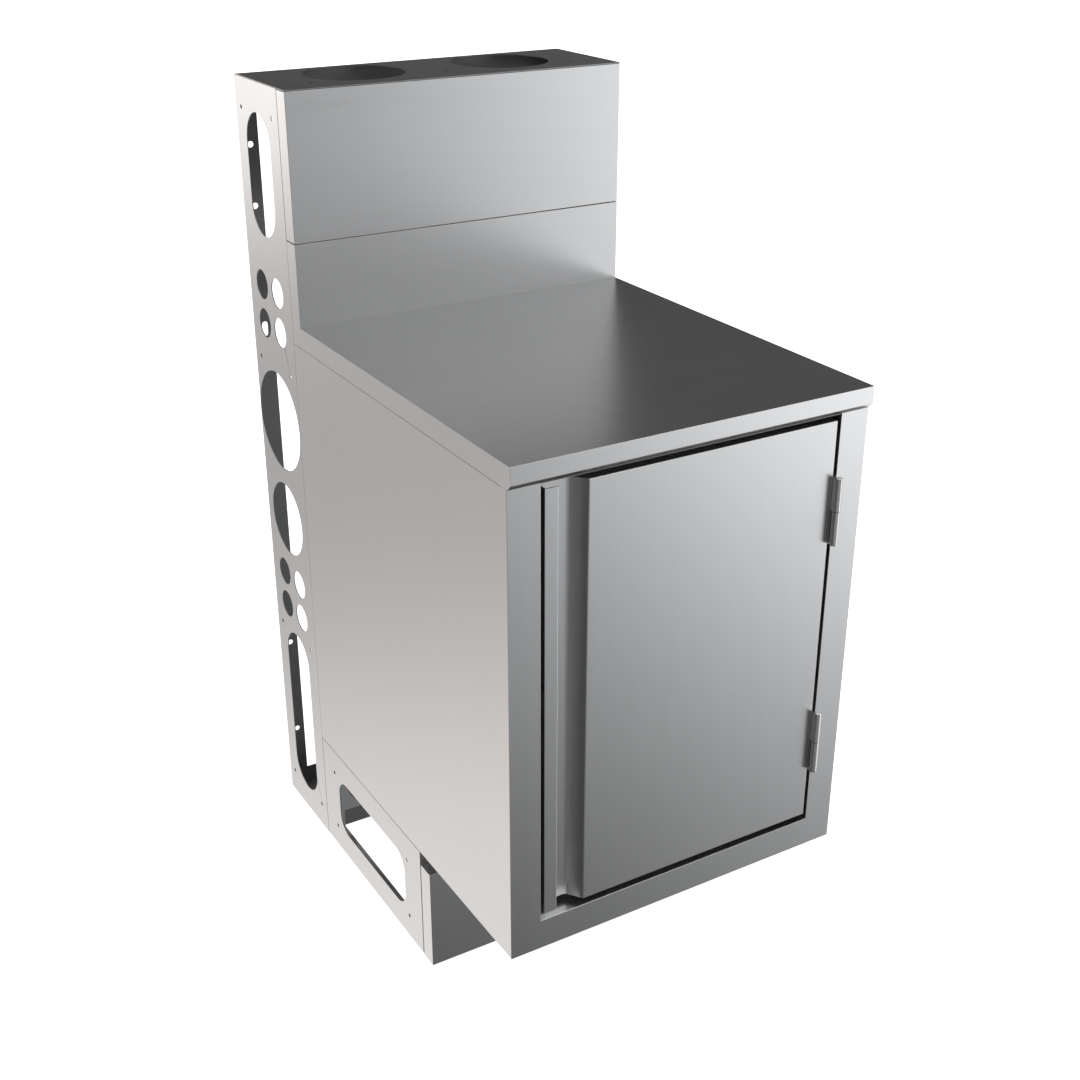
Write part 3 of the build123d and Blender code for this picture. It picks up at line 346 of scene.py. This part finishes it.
copper = bare_metal("copper_tube", (0.56, 0.27, 0.16), (0.80, 0.46, 0.32), 0.30)
brass = bare_metal("turned_brass", (0.58, 0.42, 0.20), (0.78, 0.62, 0.34), 0.28)
fin_aluminium = bare_metal("fin_aluminium", (0.62, 0.63, 0.64), (0.80, 0.81, 0.82), 0.32)
sheet_aluminium = bare_metal("sheet_aluminium", (0.66, 0.67, 0.68), (0.78, 0.79, 0.80), 0.40, 15.0)
wire_chrome = bare_metal("plated_wire", (0.66, 0.66, 0.67), (0.78, 0.78, 0.79), 0.16)
pin_steel = bare_metal("pin_steel", (0.55, 0.55, 0.55), (0.70, 0.70, 0.70), 0.22)
screw_steel = bare_metal("screw_steel", (0.52, 0.52, 0.52), (0.68, 0.68, 0.67), 0.30)
hinge_steel = satin("hinge_steel", "upright", (0.66, 0.655, 0.65), 0.27, 0.6)
print("finishes so far:", len(bpy.data.materials))

# %% [markdown]
# ## Turning a bmesh into a piece
# Every new piece ends the same way: its mesh gets a name and a finish, it rides on the body that moves
# it, and it hides the plain nodes that it stands for. Flat faces next to a small bevel shade like pillows
# unless the large faces win, so a Weighted Normal modifier is added.

# %% Finishing a piece
SHARP = radians(40)


def mark_smooth(mesh):
    """Smooth shading everywhere, except across sharp edges."""
    for face in mesh.faces:
        face.smooth = True
    for edge in mesh.edges:
        if len(edge.link_faces) == 2 and edge.calc_face_angle(0.0) > SHARP:
            edge.smooth = False


def finished(mesh, name, node, materials):
    """Makes the piece, which rides where its CAD node rides and stands for that node."""
    mark_smooth(mesh)
    data = bpy.data.meshes.new(name)
    mesh.to_mesh(data)
    mesh.free()
    piece = bpy.data.objects.new(name, data)
    bpy.context.scene.collection.objects.link(piece)
    for material in materials:
        data.materials.append(material)
    weighted = piece.modifiers.new("flat_faces_stay_flat", "WEIGHTED_NORMAL")
    weighted.keep_sharp = True
    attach(piece, body_of[node])
    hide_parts(node)
    print(name, "faces", len(data.polygons))
    return piece


# %% [markdown]
# ## Softening a folded sheet
# On the real cabinet a fold has a radius of about a millimetre and a cut edge is only deburred. The
# frame's sheets are sharp, so each is copied, its loose triangles are merged into whole faces, and then
# two bevels follow: one on the folds and, where the outline is simple, a narrow one on the cut edges. A
# face is part of a cut edge when it is no wider than the sheet is thick, and it takes a darker finish,
# partly a laser's skin and partly painted shade for the seams and holes. A bevel can fold a hollow face
# over itself, so hollow faces are split first.

# %% Softened copies
SHEET = 1.2 * MM
CUT_EDGE_WIDTH = 1.25 * SHEET  # a face narrower than this is a cut edge
GROUND, CUT, MILL_PAINTED_SHADE = range(3)   # the finishes of a sheet's faces, in the order of its material slots


def face_width(face):
    """Twice the area over the outline's length: about the width of a long narrow face."""
    return 2.0 * face.calc_area() / max(face.calc_perimeter(), 1e-9)


def whole_faces(node):
    """A merged copy of a CAD node's mesh, with its flat faces made whole."""
    mesh = bmesh.new()
    mesh.from_mesh(frame["nodes"][node].data)
    bmesh.ops.remove_doubles(mesh, verts=mesh.verts, dist=1e-6)
    bmesh.ops.dissolve_limit(
        mesh, angle_limit=radians(0.5), verts=mesh.verts, edges=mesh.edges, delimit={"NORMAL"}
    )
    # Narrow faces are cut edges, and their darker finish is partly painted shade for seams and holes.
    for face in mesh.faces:
        face.material_index = CUT if face_width(face) < CUT_EDGE_WIDTH else GROUND
    bmesh.ops.connect_verts_concave(mesh, faces=mesh.faces[:])
    return mesh


def bevel_edges(mesh, edges, width, steps):
    """Rounds the given edges."""
    bmesh.ops.bevel(
        mesh,
        geom=list(edges),
        offset=width,
        offset_type="OFFSET",
        segments=steps,
        profile=0.5,
        affect="EDGES",
        clamp_overlap=False,
        loop_slide=False,
        material=-1,
    )


def outer_edges(mesh, narrow, least_turn=50.0):
    """Convex edges: the folds, or the cut edges if narrow is asked for."""
    chosen = []
    for edge in mesh.edges:
        if len(edge.link_faces) != 2 or not edge.is_convex:
            continue
        if edge.calc_face_angle(0.0) < radians(least_turn):
            continue
        if any(face.material_index == CUT for face in edge.link_faces) == narrow:
            chosen.append(edge)
    return chosen


def soften(node, name, material, fold=0.8 * MM, rim=0.0, room_inside=None):
    """A folded sheet with round bends and, where its outline is simple, deburred edges."""
    mesh = whole_faces(node)
    # Faces that look towards room_inside get the mill finish, whose dark tone is painted shade.
    for face in mesh.faces:
        if room_inside and face.material_index == GROUND:
            if face.normal.dot(room_inside - face.calc_center_median()) > 0:
                face.material_index = MILL_PAINTED_SHADE
    if fold:
        bevel_edges(mesh, outer_edges(mesh, False), fold, 4)
    if rim:
        bevel_edges(mesh, outer_edges(mesh, True), rim, 3)
    return finished(mesh, name, node, (material, cut_edge_and_seam_shade, mill_and_painted_shade))


# %% [markdown]
# ## The chase, its top plate and its covers
# The two perforated panels, the tray, the top plate and the lift-off front panel are all plain folded
# sheets, so the softening does the whole job. The grain runs upright on the tall panels and level on the
# front panel, the way the sheets are cut. Only the outside of a sheet is ground: the faces that look into
# the chase, the ones whose normal points at its middle, get the duller mill finish in a far darker tone,
# which is painted shade for the inside of the chase.

# %% Chase sheets
middle = (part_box("chase_side_left")[0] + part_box("chase_side_right")[1]) / 2
print("middle of the chase:", [round(value, 3) for value in middle])
for side in ("left", "right"):
    soften("chase_side_" + side, "chase_panel_" + side, satin_upright, 0.4 * MM, room_inside=middle)
soften("chase_top_plate", "chase_lid", satin_level, 0.5 * MM, room_inside=middle)
soften("chase_base_tray", "chase_tray", satin_level, room_inside=middle)
soften("upper_front_panel", "front_cover", satin_level, 0.6 * MM, rim=0.25 * MM, room_inside=middle)

# %% [markdown]
# ## The worktop
# The top and the backsplash are one heavier sheet. Its front edge is folded down and then under at 45
# degrees in a sharp tool, so the nosing reads as one crisp band. The grain runs from side to side.

# %% Worktop and its stiffeners
soften("worktop", "worktop_sheet", satin_level, fold=0.3 * MM)
for side in ("left", "right"):
    soften("worktop_stiffener_" + side, "hat_channel_" + side, zinc, fold=1.0 * MM)

# %% [markdown]
# ## The cabinet's shell
# The wrapper carries the long side faces, the face frame the stiles and the bottom rail that surround
# the door. The liner is the box that holds the food: its inner corners are coved so that they can be
# wiped, so here the edges that turn inwards are rounded instead, with a wide radius.

# %% Shell sheets
soften("cabinet_wrapper", "side_wrapper", satin_upright, fold=0.5 * MM)
soften("face_frame", "front_frame", satin_upright, fold=0.35 * MM)
soften("cabinet_roof", "roof_sheet", zinc, fold=0.0)
soften("cabinet_back", "back_sheet", zinc, fold=0.0)


BEND = radians(50)  # the least turn between two faces that counts as a bend


def coved(node, name, material, cove):
    """A drawn box whose inside corners are rounded."""
    mesh = whole_faces(node)
    inside = [
        edge
        for edge in mesh.edges
        if len(edge.link_faces) == 2
        and not edge.is_convex
        and edge.calc_face_angle(0.0) > BEND
        and min(face_width(face) for face in edge.link_faces) > 10 * SHEET
    ]
    bevel_edges(mesh, inside, cove, 5)
    return finished(mesh, name, node, (material, cut_edge_and_seam_shade))


coved("inner_liner", "food_box", satin_liner, 9 * MM)

# %% [markdown]
# ## The base and the kick plate
# The base stands back from the front, and the kick plate closes it. Both are the same folded sheets as
# the cabinet; the window in the base side is cut by laser, so its edge is hardly rounded, and it is dark,
# partly from the laser's skin and partly as painted shade.

# %% Base sheets
for side in ("left", "right"):
    soften("base_side_" + side, "base_panel_" + side, satin_upright)
soften("base_back", "base_rear_wall", satin_level, fold=0.0)
soften("base_front_rail", "base_rail", zinc)
soften("kick_plate", "kick_cover", satin_level)

# %% [markdown]
# ## The door
# One sheet makes the face, the slanted side of the grip and the floor of its recess. The outer corners
# are folded tightly, while the bend at the foot of the slope is pressed over a rounder tool, so the two
# are picked apart by whether the edge turns outwards or inwards.

# %% Door skin
GRIP_DEPTH = 18.5 * MM
GRIP_BEND = 2.2 * MM
DOOR_FOLD = 0.9 * MM
SLANTED = 25.0  # degrees: the slope of the grip turns less than a square fold does


def door_shell():
    """The door's skin with tight outside folds and a rounder bend in the grip's recess."""
    mesh = whole_faces("door_skin")
    low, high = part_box("door_skin")
    floor_y = low.y + GRIP_DEPTH
    bends = [
        edge
        for edge in mesh.edges
        if len(edge.link_faces) == 2
        and not edge.is_convex
        and edge.calc_length() > 0.95 * (high.z - low.z)
        and abs(edge.verts[0].co.y - floor_y) < 0.3 * MM
    ]
    print("grip bends:", len(bends))
    bevel_edges(mesh, bends, GRIP_BEND, 6)
    folds = [edge for edge in outer_edges(mesh, False, SLANTED) if edge.calc_length() > 10 * MM]
    bevel_edges(mesh, folds, DOOR_FOLD, 4)
    return finished(mesh, "door_face", "door_skin", (satin_upright, cut_edge_and_seam_shade))


door_shell()

# %% Grip strip and inner panel
LIP_ROUND = 1.1 * MM


def grip_lip():
    """The grip's strip, with a finger-safe round on its free front edge."""
    mesh = whole_faces("door_grip")
    low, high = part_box("door_grip")
    folds = [edge for edge in outer_edges(mesh, False) if edge.calc_length() > 12 * MM]
    bevel_edges(mesh, folds, 0.6 * MM, 4)
    for face in mesh.faces:
        face.material_index = GROUND
    free_edge = [
        edge
        for edge in mesh.edges
        if edge.calc_length() > 0.9 * (high.z - low.z)
        and all(vert.co.x > high.x - 0.3 * MM and vert.co.y < low.y + 0.3 * MM for vert in edge.verts)
    ]
    print("free edges of the strip:", len(free_edge))
    bevel_edges(mesh, free_edge, LIP_ROUND, 6)
    return finished(mesh, "grip_strip", "door_grip", (satin_upright,))


grip_lip()
coved("door_liner", "door_inner_panel", satin_liner, 3 * MM)

# %% [markdown]
# ## Hinge barrels
# The two barrels of a hinge are turned from bar: plain cylinders with a small radius at each end, welded
# to flat leaves that stand in the door gap. A turned part is a profile spun round an axis, so each
# barrel's half outline is spun with its seam merged, and the leaf is a bevelled plate beside it.

# %% Turned parts
def turned(profile, centre, axis="Z", steps=48):
    """Spins (radius, height) points round an axis through the centre, the height running along it."""
    mesh = bmesh.new()
    points = [mesh.verts.new((radius, 0.0, height)) for radius, height in profile]
    line = [mesh.edges.new(pair) for pair in zip(points, points[1:])]
    bmesh.ops.spin(
        mesh,
        geom=points + line,
        cent=(0, 0, 0),
        axis=(0, 0, 1),
        angle=radians(360),
        steps=steps,
        use_merge=True,
    )
    bmesh.ops.remove_doubles(mesh, verts=mesh.verts, dist=1e-6)
    if axis == "Y":
        bmesh.ops.rotate(mesh, verts=mesh.verts, cent=(0, 0, 0), matrix=Matrix.Rotation(radians(90), 3, "X"))
    bmesh.ops.translate(mesh, verts=mesh.verts, vec=centre)
    bmesh.ops.recalc_face_normals(mesh, faces=mesh.faces)
    return mesh


def plate(low, high, round_by=0.3 * MM):
    """A plate between two corners, with its edges eased."""
    mesh = bmesh.new()
    bmesh.ops.create_cube(mesh, size=1.0)
    low, high = Vector(low), Vector(high)
    bmesh.ops.scale(mesh, verts=mesh.verts, vec=high - low)
    bmesh.ops.translate(mesh, verts=mesh.verts, vec=(low + high) / 2)
    bevel_edges(mesh, mesh.edges[:], round_by, 2)
    return mesh


def joined(*meshes):
    """One mesh from several; the given ones are used up."""
    whole = bmesh.new()
    for mesh in meshes:
        data = bpy.data.meshes.new("part")
        mesh.to_mesh(data)
        mesh.free()
        whole.from_mesh(data)
        bpy.data.meshes.remove(data)
    return whole


# %% Hinges
BARREL = 4.5 * MM
BORE = 2.55 * MM
CAP = 3.0 * MM
EASE = 0.9 * MM
LEAF = 1.3 * MM
LEAF_FROM_AXIS = {"door": -3.0 * MM, "frame": 0.2 * MM}  # to the leaf's left face
LEAF_FRONT = 5.35 * MM                                   # behind the axis
WEB = (2.9 * MM, 6.0 * MM)                               # from inside the barrel to inside the leaf


def barrel(centre, bottom, top, open_below):
    """A bored barrel, capped at the end that is away from the other barrel."""
    corner = 0.27 * EASE
    height = top - bottom
    outside = [(BARREL - EASE, 0.0), (BARREL - corner, corner), (BARREL, EASE)]
    outside += [(BARREL, height - EASE), (BARREL - corner, height - corner), (BARREL - EASE, height)]
    if open_below:
        profile = [(0.0, height - CAP), (BORE, height - CAP), (BORE, 0.0)] + outside + [(0.0, height)]
    else:
        profile = [(0.0, CAP), (BORE, CAP), (BORE, height)] + outside[::-1] + [(0.0, 0.0)]
    return turned(profile, (centre.x, centre.y, bottom))


for place in ("upper", "lower"):
    pin_low, pin_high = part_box("hinge_pin_" + place)
    axis = (pin_low + pin_high) / 2
    washer_low, washer_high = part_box("hinge_washer_" + place)
    for part, open_below in (("door", True), ("frame", False)):
        node = "hinge_%s_leaf_%s" % (part, place)
        low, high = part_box(node)
        bottom, top = (washer_high.z + 0.1 * MM, high.z) if open_below else (low.z, washer_low.z)
        knuckle = barrel(axis, bottom, top, open_below)
        left = axis.x + LEAF_FROM_AXIS[part]
        right = left + LEAF
        leaf = plate((left, axis.y + LEAF_FRONT, low.z), (right, high.y, high.z))
        web_low = (left, axis.y + WEB[0], bottom + 0.3 * MM)
        web = plate(web_low, (right, axis.y + WEB[1], top - 0.3 * MM))
        finished(joined(knuckle, leaf, web), "hinge_%s_%s" % (part, place), node, (hinge_steel, cut_edge_and_seam_shade))
print("hinge leaves made:", 2 * len(LEAF_FROM_AXIS))

# %% [markdown]
# ## The magnetic gasket
# The seal is an extruded rubber tube, mitred at the corners, with a bellows between its foot and its
# sealing face. The frame's ring already has that section with sharp corners, so its long edges are only
# rounded until it looks extruded. The plastic frame of the mouth, which it closes on, is eased likewise.

# %% Gasket
soften("door_gasket", "door_seal", gasket_rubber, fold=1.6 * MM)
soften("breaker_frame", "mouth_frame", white_plastic, fold=0.6 * MM)

# %% [markdown]
# ## Inside the cold compartment
# The evaporator unit hangs from the ceiling: a folded aluminium cover with a fan opening, a control knob
# and a drip pan. The fan wheel is moulded, so its blades thin out towards the tips and are twisted.

# %% Fan wheel
HUB = [(3.0, -7.5), (9.5, -7.5), (11.5, -6.6), (12.0, -4.5), (12.0, 7.5), (3.0, 7.5), (3.0, -7.5)]
BLADES = 5
BLADE_FOOT = 11.0 * MM   # a blade starts just inside the hub
TIP_GAP = 0.6 * MM
BLADE = 1.2 * MM
CAMBER = 1.6 * MM


def fan_blade(reach, half):
    """One blade on the X axis: wider in the middle, twisted less towards the tip, and cambered."""
    blade = bmesh.new()
    bmesh.ops.create_grid(blade, x_segments=10, y_segments=8, size=0.5)
    for vert in blade.verts:
        along = vert.co.x + 0.5
        across = vert.co.y
        chord = (14.0 + 17.0 * along - 6.0 * along ** 6) * MM
        twist = radians(40.0 - 16.0 * along)
        radius = BLADE_FOOT + along * (reach - BLADE_FOOT - TIP_GAP)
        camber = CAMBER * (1.0 - 4.0 * across * across)
        offset = Matrix.Rotation(twist, 3, "X") @ Vector((0.0, across * chord, camber))
        place = Matrix.Rotation(offset.y / radius, 3, "Z") @ Vector((radius, 0.0, 0.0))
        vert.co = Vector((place.x, place.y, max(-half, min(half, offset.z)) * 0.98))
    bmesh.ops.solidify(blade, geom=blade.faces[:], thickness=BLADE)
    return blade


def fan_wheel():
    """A hub with five twisted blades, inside the space of the CAD wheel."""
    low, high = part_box("fan_blade")
    centre = (low + high) / 2
    half = (high.y - low.y) / 2
    reach = (high.x - low.x) / 2
    parts = [turned([(radius * MM, height * MM) for radius, height in HUB], (0, 0, 0))]
    for number in range(BLADES):
        blade = fan_blade(reach, half)
        turn = Matrix.Rotation(radians(360 / BLADES * number), 3, "Z")
        bmesh.ops.rotate(blade, verts=blade.verts, cent=(0, 0, 0), matrix=turn)
        parts.append(blade)
    wheel = joined(*parts)
    bmesh.ops.rotate(wheel, verts=wheel.verts, cent=(0, 0, 0), matrix=Matrix.Rotation(radians(90), 3, "X"))
    bmesh.ops.translate(wheel, verts=wheel.verts, vec=centre)
    bmesh.ops.recalc_face_normals(wheel, faces=wheel.faces)
    return finished(wheel, "fan_wheel", "fan_blade", (fan_plastic,))


fan_wheel()

# %% Housing, pan and knob
soften("evaporator_housing", "unit_cover", sheet_aluminium, fold=0.6 * MM)
soften("drip_pan", "drain_pan", satin_liner, fold=0.9 * MM)


KNOB_RIM = 16.0 * MM  # from the front of the grip bar to the back of the disc
DISC = 8.0 * MM
GRIP_BAR = (3.5 * MM, 15 * MM)  # half width and half length
SPINDLE = 3.0 * MM


def control_knob():
    """A round knob with a grip bar across it, on its spindle."""
    low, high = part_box("thermostat_knob")
    axis_x = (low.x + high.x) / 2
    axis_z = (low.z + high.z) / 2
    rim = low.y + KNOB_RIM
    radius = (high.x - low.x) / 2
    profile = [(0.0, 0.0), (radius, 0.0), (radius, 2.0 * MM), (radius - 0.8 * MM, 6.6 * MM)]
    profile += [(radius - 2.2 * MM, DISC), (0.0, DISC)]
    disc = turned(profile, (axis_x, rim, axis_z), "Y", 64)
    half_width, half_length = GRIP_BAR
    bar_low = (axis_x - half_width, low.y, axis_z - half_length)
    bar_high = (axis_x + half_width, low.y + 8.2 * MM, axis_z + half_length)
    grip = plate(bar_low, bar_high, MM)
    back = -(high.y - rim)
    spindle_profile = [(0.0, 0.0), (SPINDLE, 0.0), (SPINDLE, back), (0.0, back)]
    spindle = turned(spindle_profile, (axis_x, rim, axis_z), "Y", 32)
    return finished(joined(disc, grip, spindle), "control_knob", "thermostat_knob", (black_plastic,))


control_knob()

# %% [markdown]
# ## Small parts that keep their shape
# Clips, screws, wires, tubes and foam are already right as they are in the frame, so they only get their
# finishes. The metal ones have tool marks and tarnish at their own small scale.

# %% Finishes for the nodes that stay
FINISHES = {
    screw_steel: ["panel_clips", "kick_clips", "shelf_clips", "unit_screws"],
    pin_steel: ["hinge_%s_%s" % (part, place) for part in ("pin", "washer") for place in ("upper", "lower")]
    + ["fan_shaft"],
    brass: ["expansion_valve", "flare_caps"],
    foam_skin: ["insulation_foam", "door_foam"],
    sheet_aluminium: ["shelf_pilaster_%d" % number for number in range(1, 5)],
    fin_aluminium: ["evaporator_coil"],
    wire_chrome: ["shelf_lower", "shelf_upper", "fan_guard"],
    zinc: ["fan_bracket"],
    motor_paint: ["fan_motor"],
    white_plastic: ["thermostat_body", "drain_tube"],
    copper: ["suction_line", "liquid_line", "valve_outlet"],
    gasket_rubber: ["service_grommets"],
}
for material, names in FINISHES.items():
    for name in names:
        node = frame["nodes"][name]
        for material_slot in node.material_slots:
            material_slot.material = material
print("nodes with a finish of their own:", sum(len(names) for names in FINISHES.values()))

# %% [markdown]
# ## Camera
# The cabinet is looked at from above the worktop, so its verticals run together downwards. The camera
# stands to the left of the front, where both the door and the perforated side of the chase show. It is
# placed by numbers and turned by two angles, one down and one to the right, which is easier to repeat
# than aiming it by hand.

# %% Camera
LOOK_DOWN = 0.439
LOOK_RIGHT = 0.535
camera_data = bpy.data.cameras.new("camera")
camera_data.lens = 50.3
camera = bpy.data.objects.new("camera", camera_data)
camera.location = (-0.8797, -1.4916, 1.3046)
camera.rotation_euler = (radians(90) - LOOK_DOWN, 0.0, -LOOK_RIGHT)
bpy.context.scene.collection.objects.link(camera)
bpy.context.scene.camera = camera
print("camera:", [round(value, 3) for value in camera.location], "lens", camera_data.lens)

# %% [markdown]
# ## Light
# Bare steel has no colour of its own to show: what is seen is the room. Lamps would give a few hard
# spots, so a studio room is painted as a world instead, whose brightness depends only on the direction.
# Two helpers are enough for it: a soft step, and a curve through a few levels.

# %% World and its helpers
world = bpy.data.worlds.new("studio")
world.use_nodes = True
bpy.context.scene.world = world
bpy.context.scene.view_settings.view_transform = "Standard"
room = Graph(world.node_tree)
way = room.add("ShaderNodeTexCoord").outputs["Generated"]
way_x, way_y, way_z = room.split(way)


def smooth(graph, value, low, high):
    """0 below low, 1 above high, and a soft step between them."""
    node = graph.add(
        "ShaderNodeMapRange",
        {"interpolation_type": "SMOOTHSTEP"},
        {"Value": value, "From Min": low, "From Max": high},
    )
    return graph.number(node)


def levels(graph, value, *stops):
    """A brightness that follows the value through (value, brightness) stops, from -1 to 1."""
    colours = [((place + 1.0) / 2.0, (level / 2.0,) * 3 + (1.0,)) for place, level in stops]
    node = graph.add("ShaderNodeValToRGB", {"stops": colours}, {"Fac": value * 0.5 + 0.5})
    return graph.number(graph.add("ShaderNodeRGBToBW", inputs={"Color": node.outputs["Color"]})) * 2.0


print("world:", world.name)

# %% [markdown]
# ## The wall in front of the machine
# The door, the nosing and the front panel mirror this wall. It is dark low down, which lets the door fall
# off towards the floor, and it brightens to the right like a room with a window there. A narrow strip
# light at its right end and a light overhead draw bright lines along the rounded edges.

# %% Front wall
BRIGHTEST = 1.9
FRONT_WALL = (
    (-1.0, 0.02), (-0.70, 0.08), (-0.58, 0.18), (-0.44, 0.37), (-0.36, 0.42), (-0.27, 0.29),
    (-0.15, 0.46), (0.2, 0.34), (0.5, 0.30), (0.68, 1.70), (0.85, 1.70), (1.0, 0.8),
)
front = levels(room, way_z, *FRONT_WALL)
low_down = 1.0 - 0.75 * smooth(room, way_z, 0.0, 0.3)
to_right = smooth(room, way_x, 0.36, 0.78) * low_down
to_left = smooth(room, -1.0 * way_x, 0.5, 0.85)
window = smooth(room, way_x, 0.42, 0.68) * smooth(room, way_z, -0.46, -0.22) * low_down
strip_light = smooth(room, way_x, 0.76, 0.83) * (1.0 - smooth(room, way_x, 0.84, 0.89)) * low_down
right_end = 1.0 - 0.8 * smooth(room, way_x, 0.80, 0.93)
front_level = (front * (1.0 + 2.55 * to_right) + 0.9 * window).at_most(BRIGHTEST)
front_level = front_level * (1.0 - 0.8 * to_left) * right_end + 1.2 * strip_light
print("front wall levels:", len(FRONT_WALL))

# %% [markdown]
# ## The wall behind it
# The side and the worktop mirror the far wall. Below the horizon it is bright and a little warm, and above
# it is nearly black, which gives the worktop its dark end and makes the top plate read as a dark lid. Only
# the camera itself sees plain white, so the background stays clean.

# %% Back wall and output
BACK_WALL = (
    (-1.0, 1.2), (-0.58, 1.14), (-0.46, 0.68), (-0.40, 0.57), (-0.26, 0.52), (-0.15, 1.75),
    (-0.04, 1.60), (0.05, 0.045), (0.5, 0.055), (0.8, 0.6), (1.0, 0.9),
)
COOL = (0.985, 1.0, 1.015, 1.0)
WARM = (1.0, 0.965, 0.945, 1.0)
back = levels(room, way_z, *BACK_WALL)
behind = smooth(room, way_y, -0.12, 0.12)
level = front_level + behind * (back - front_level)
tint = room.blend(behind, COOL, WARM)
studio_light = room.add("ShaderNodeBackground", inputs={"Color": tint, "Strength": level})
plain_white = room.add("ShaderNodeBackground", inputs={"Color": (1.0, 1.0, 1.0, 1.0), "Strength": 1.0})
seen = room.add("ShaderNodeLightPath")
mixed = room.add("ShaderNodeMixShader", inputs={"Fac": seen.outputs["Is Camera Ray"]})
room.feed(mixed.inputs[1], studio_light.outputs[0])
room.feed(mixed.inputs[2], plain_white.outputs[0])
room.add("ShaderNodeOutputWorld", inputs={"Surface": mixed.outputs[0]})
print("nodes in the world:", len(world.node_tree.nodes))

# %% [markdown]
# ## The floor
# The machine stands on plain paper. It lights the underside a little of itself and isn't seen in the
# steel, which would otherwise mirror a hard horizon.

# %% Floor
floor_mesh = bmesh.new()
bmesh.ops.create_grid(floor_mesh, x_segments=1, y_segments=1, size=20.0)
bmesh.ops.translate(floor_mesh, verts=floor_mesh.verts, vec=(0, 0, -MM))
floor_data = bpy.data.meshes.new("floor")
floor_mesh.to_mesh(floor_data)
floor_mesh.free()
floor = bpy.data.objects.new("floor", floor_data)
bpy.context.scene.collection.objects.link(floor)
paper = Finish("white_floor", Roughness=0.9, Emission_Strength=0.95)
paper.paint(Base_Color=(0.9, 0.9, 0.9, 1.0), Emission_Color=(1.0, 1.0, 1.0, 1.0))
floor_data.materials.append(paper.material)
floor.visible_glossy = False
floor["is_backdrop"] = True
print("floor:", floor.name)

# %% [markdown]
# ## The box of the visual model
# The visual model must stay inside the frame's box, so the box of everything shown is worked out.

# %% The box of what is shown
low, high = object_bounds()
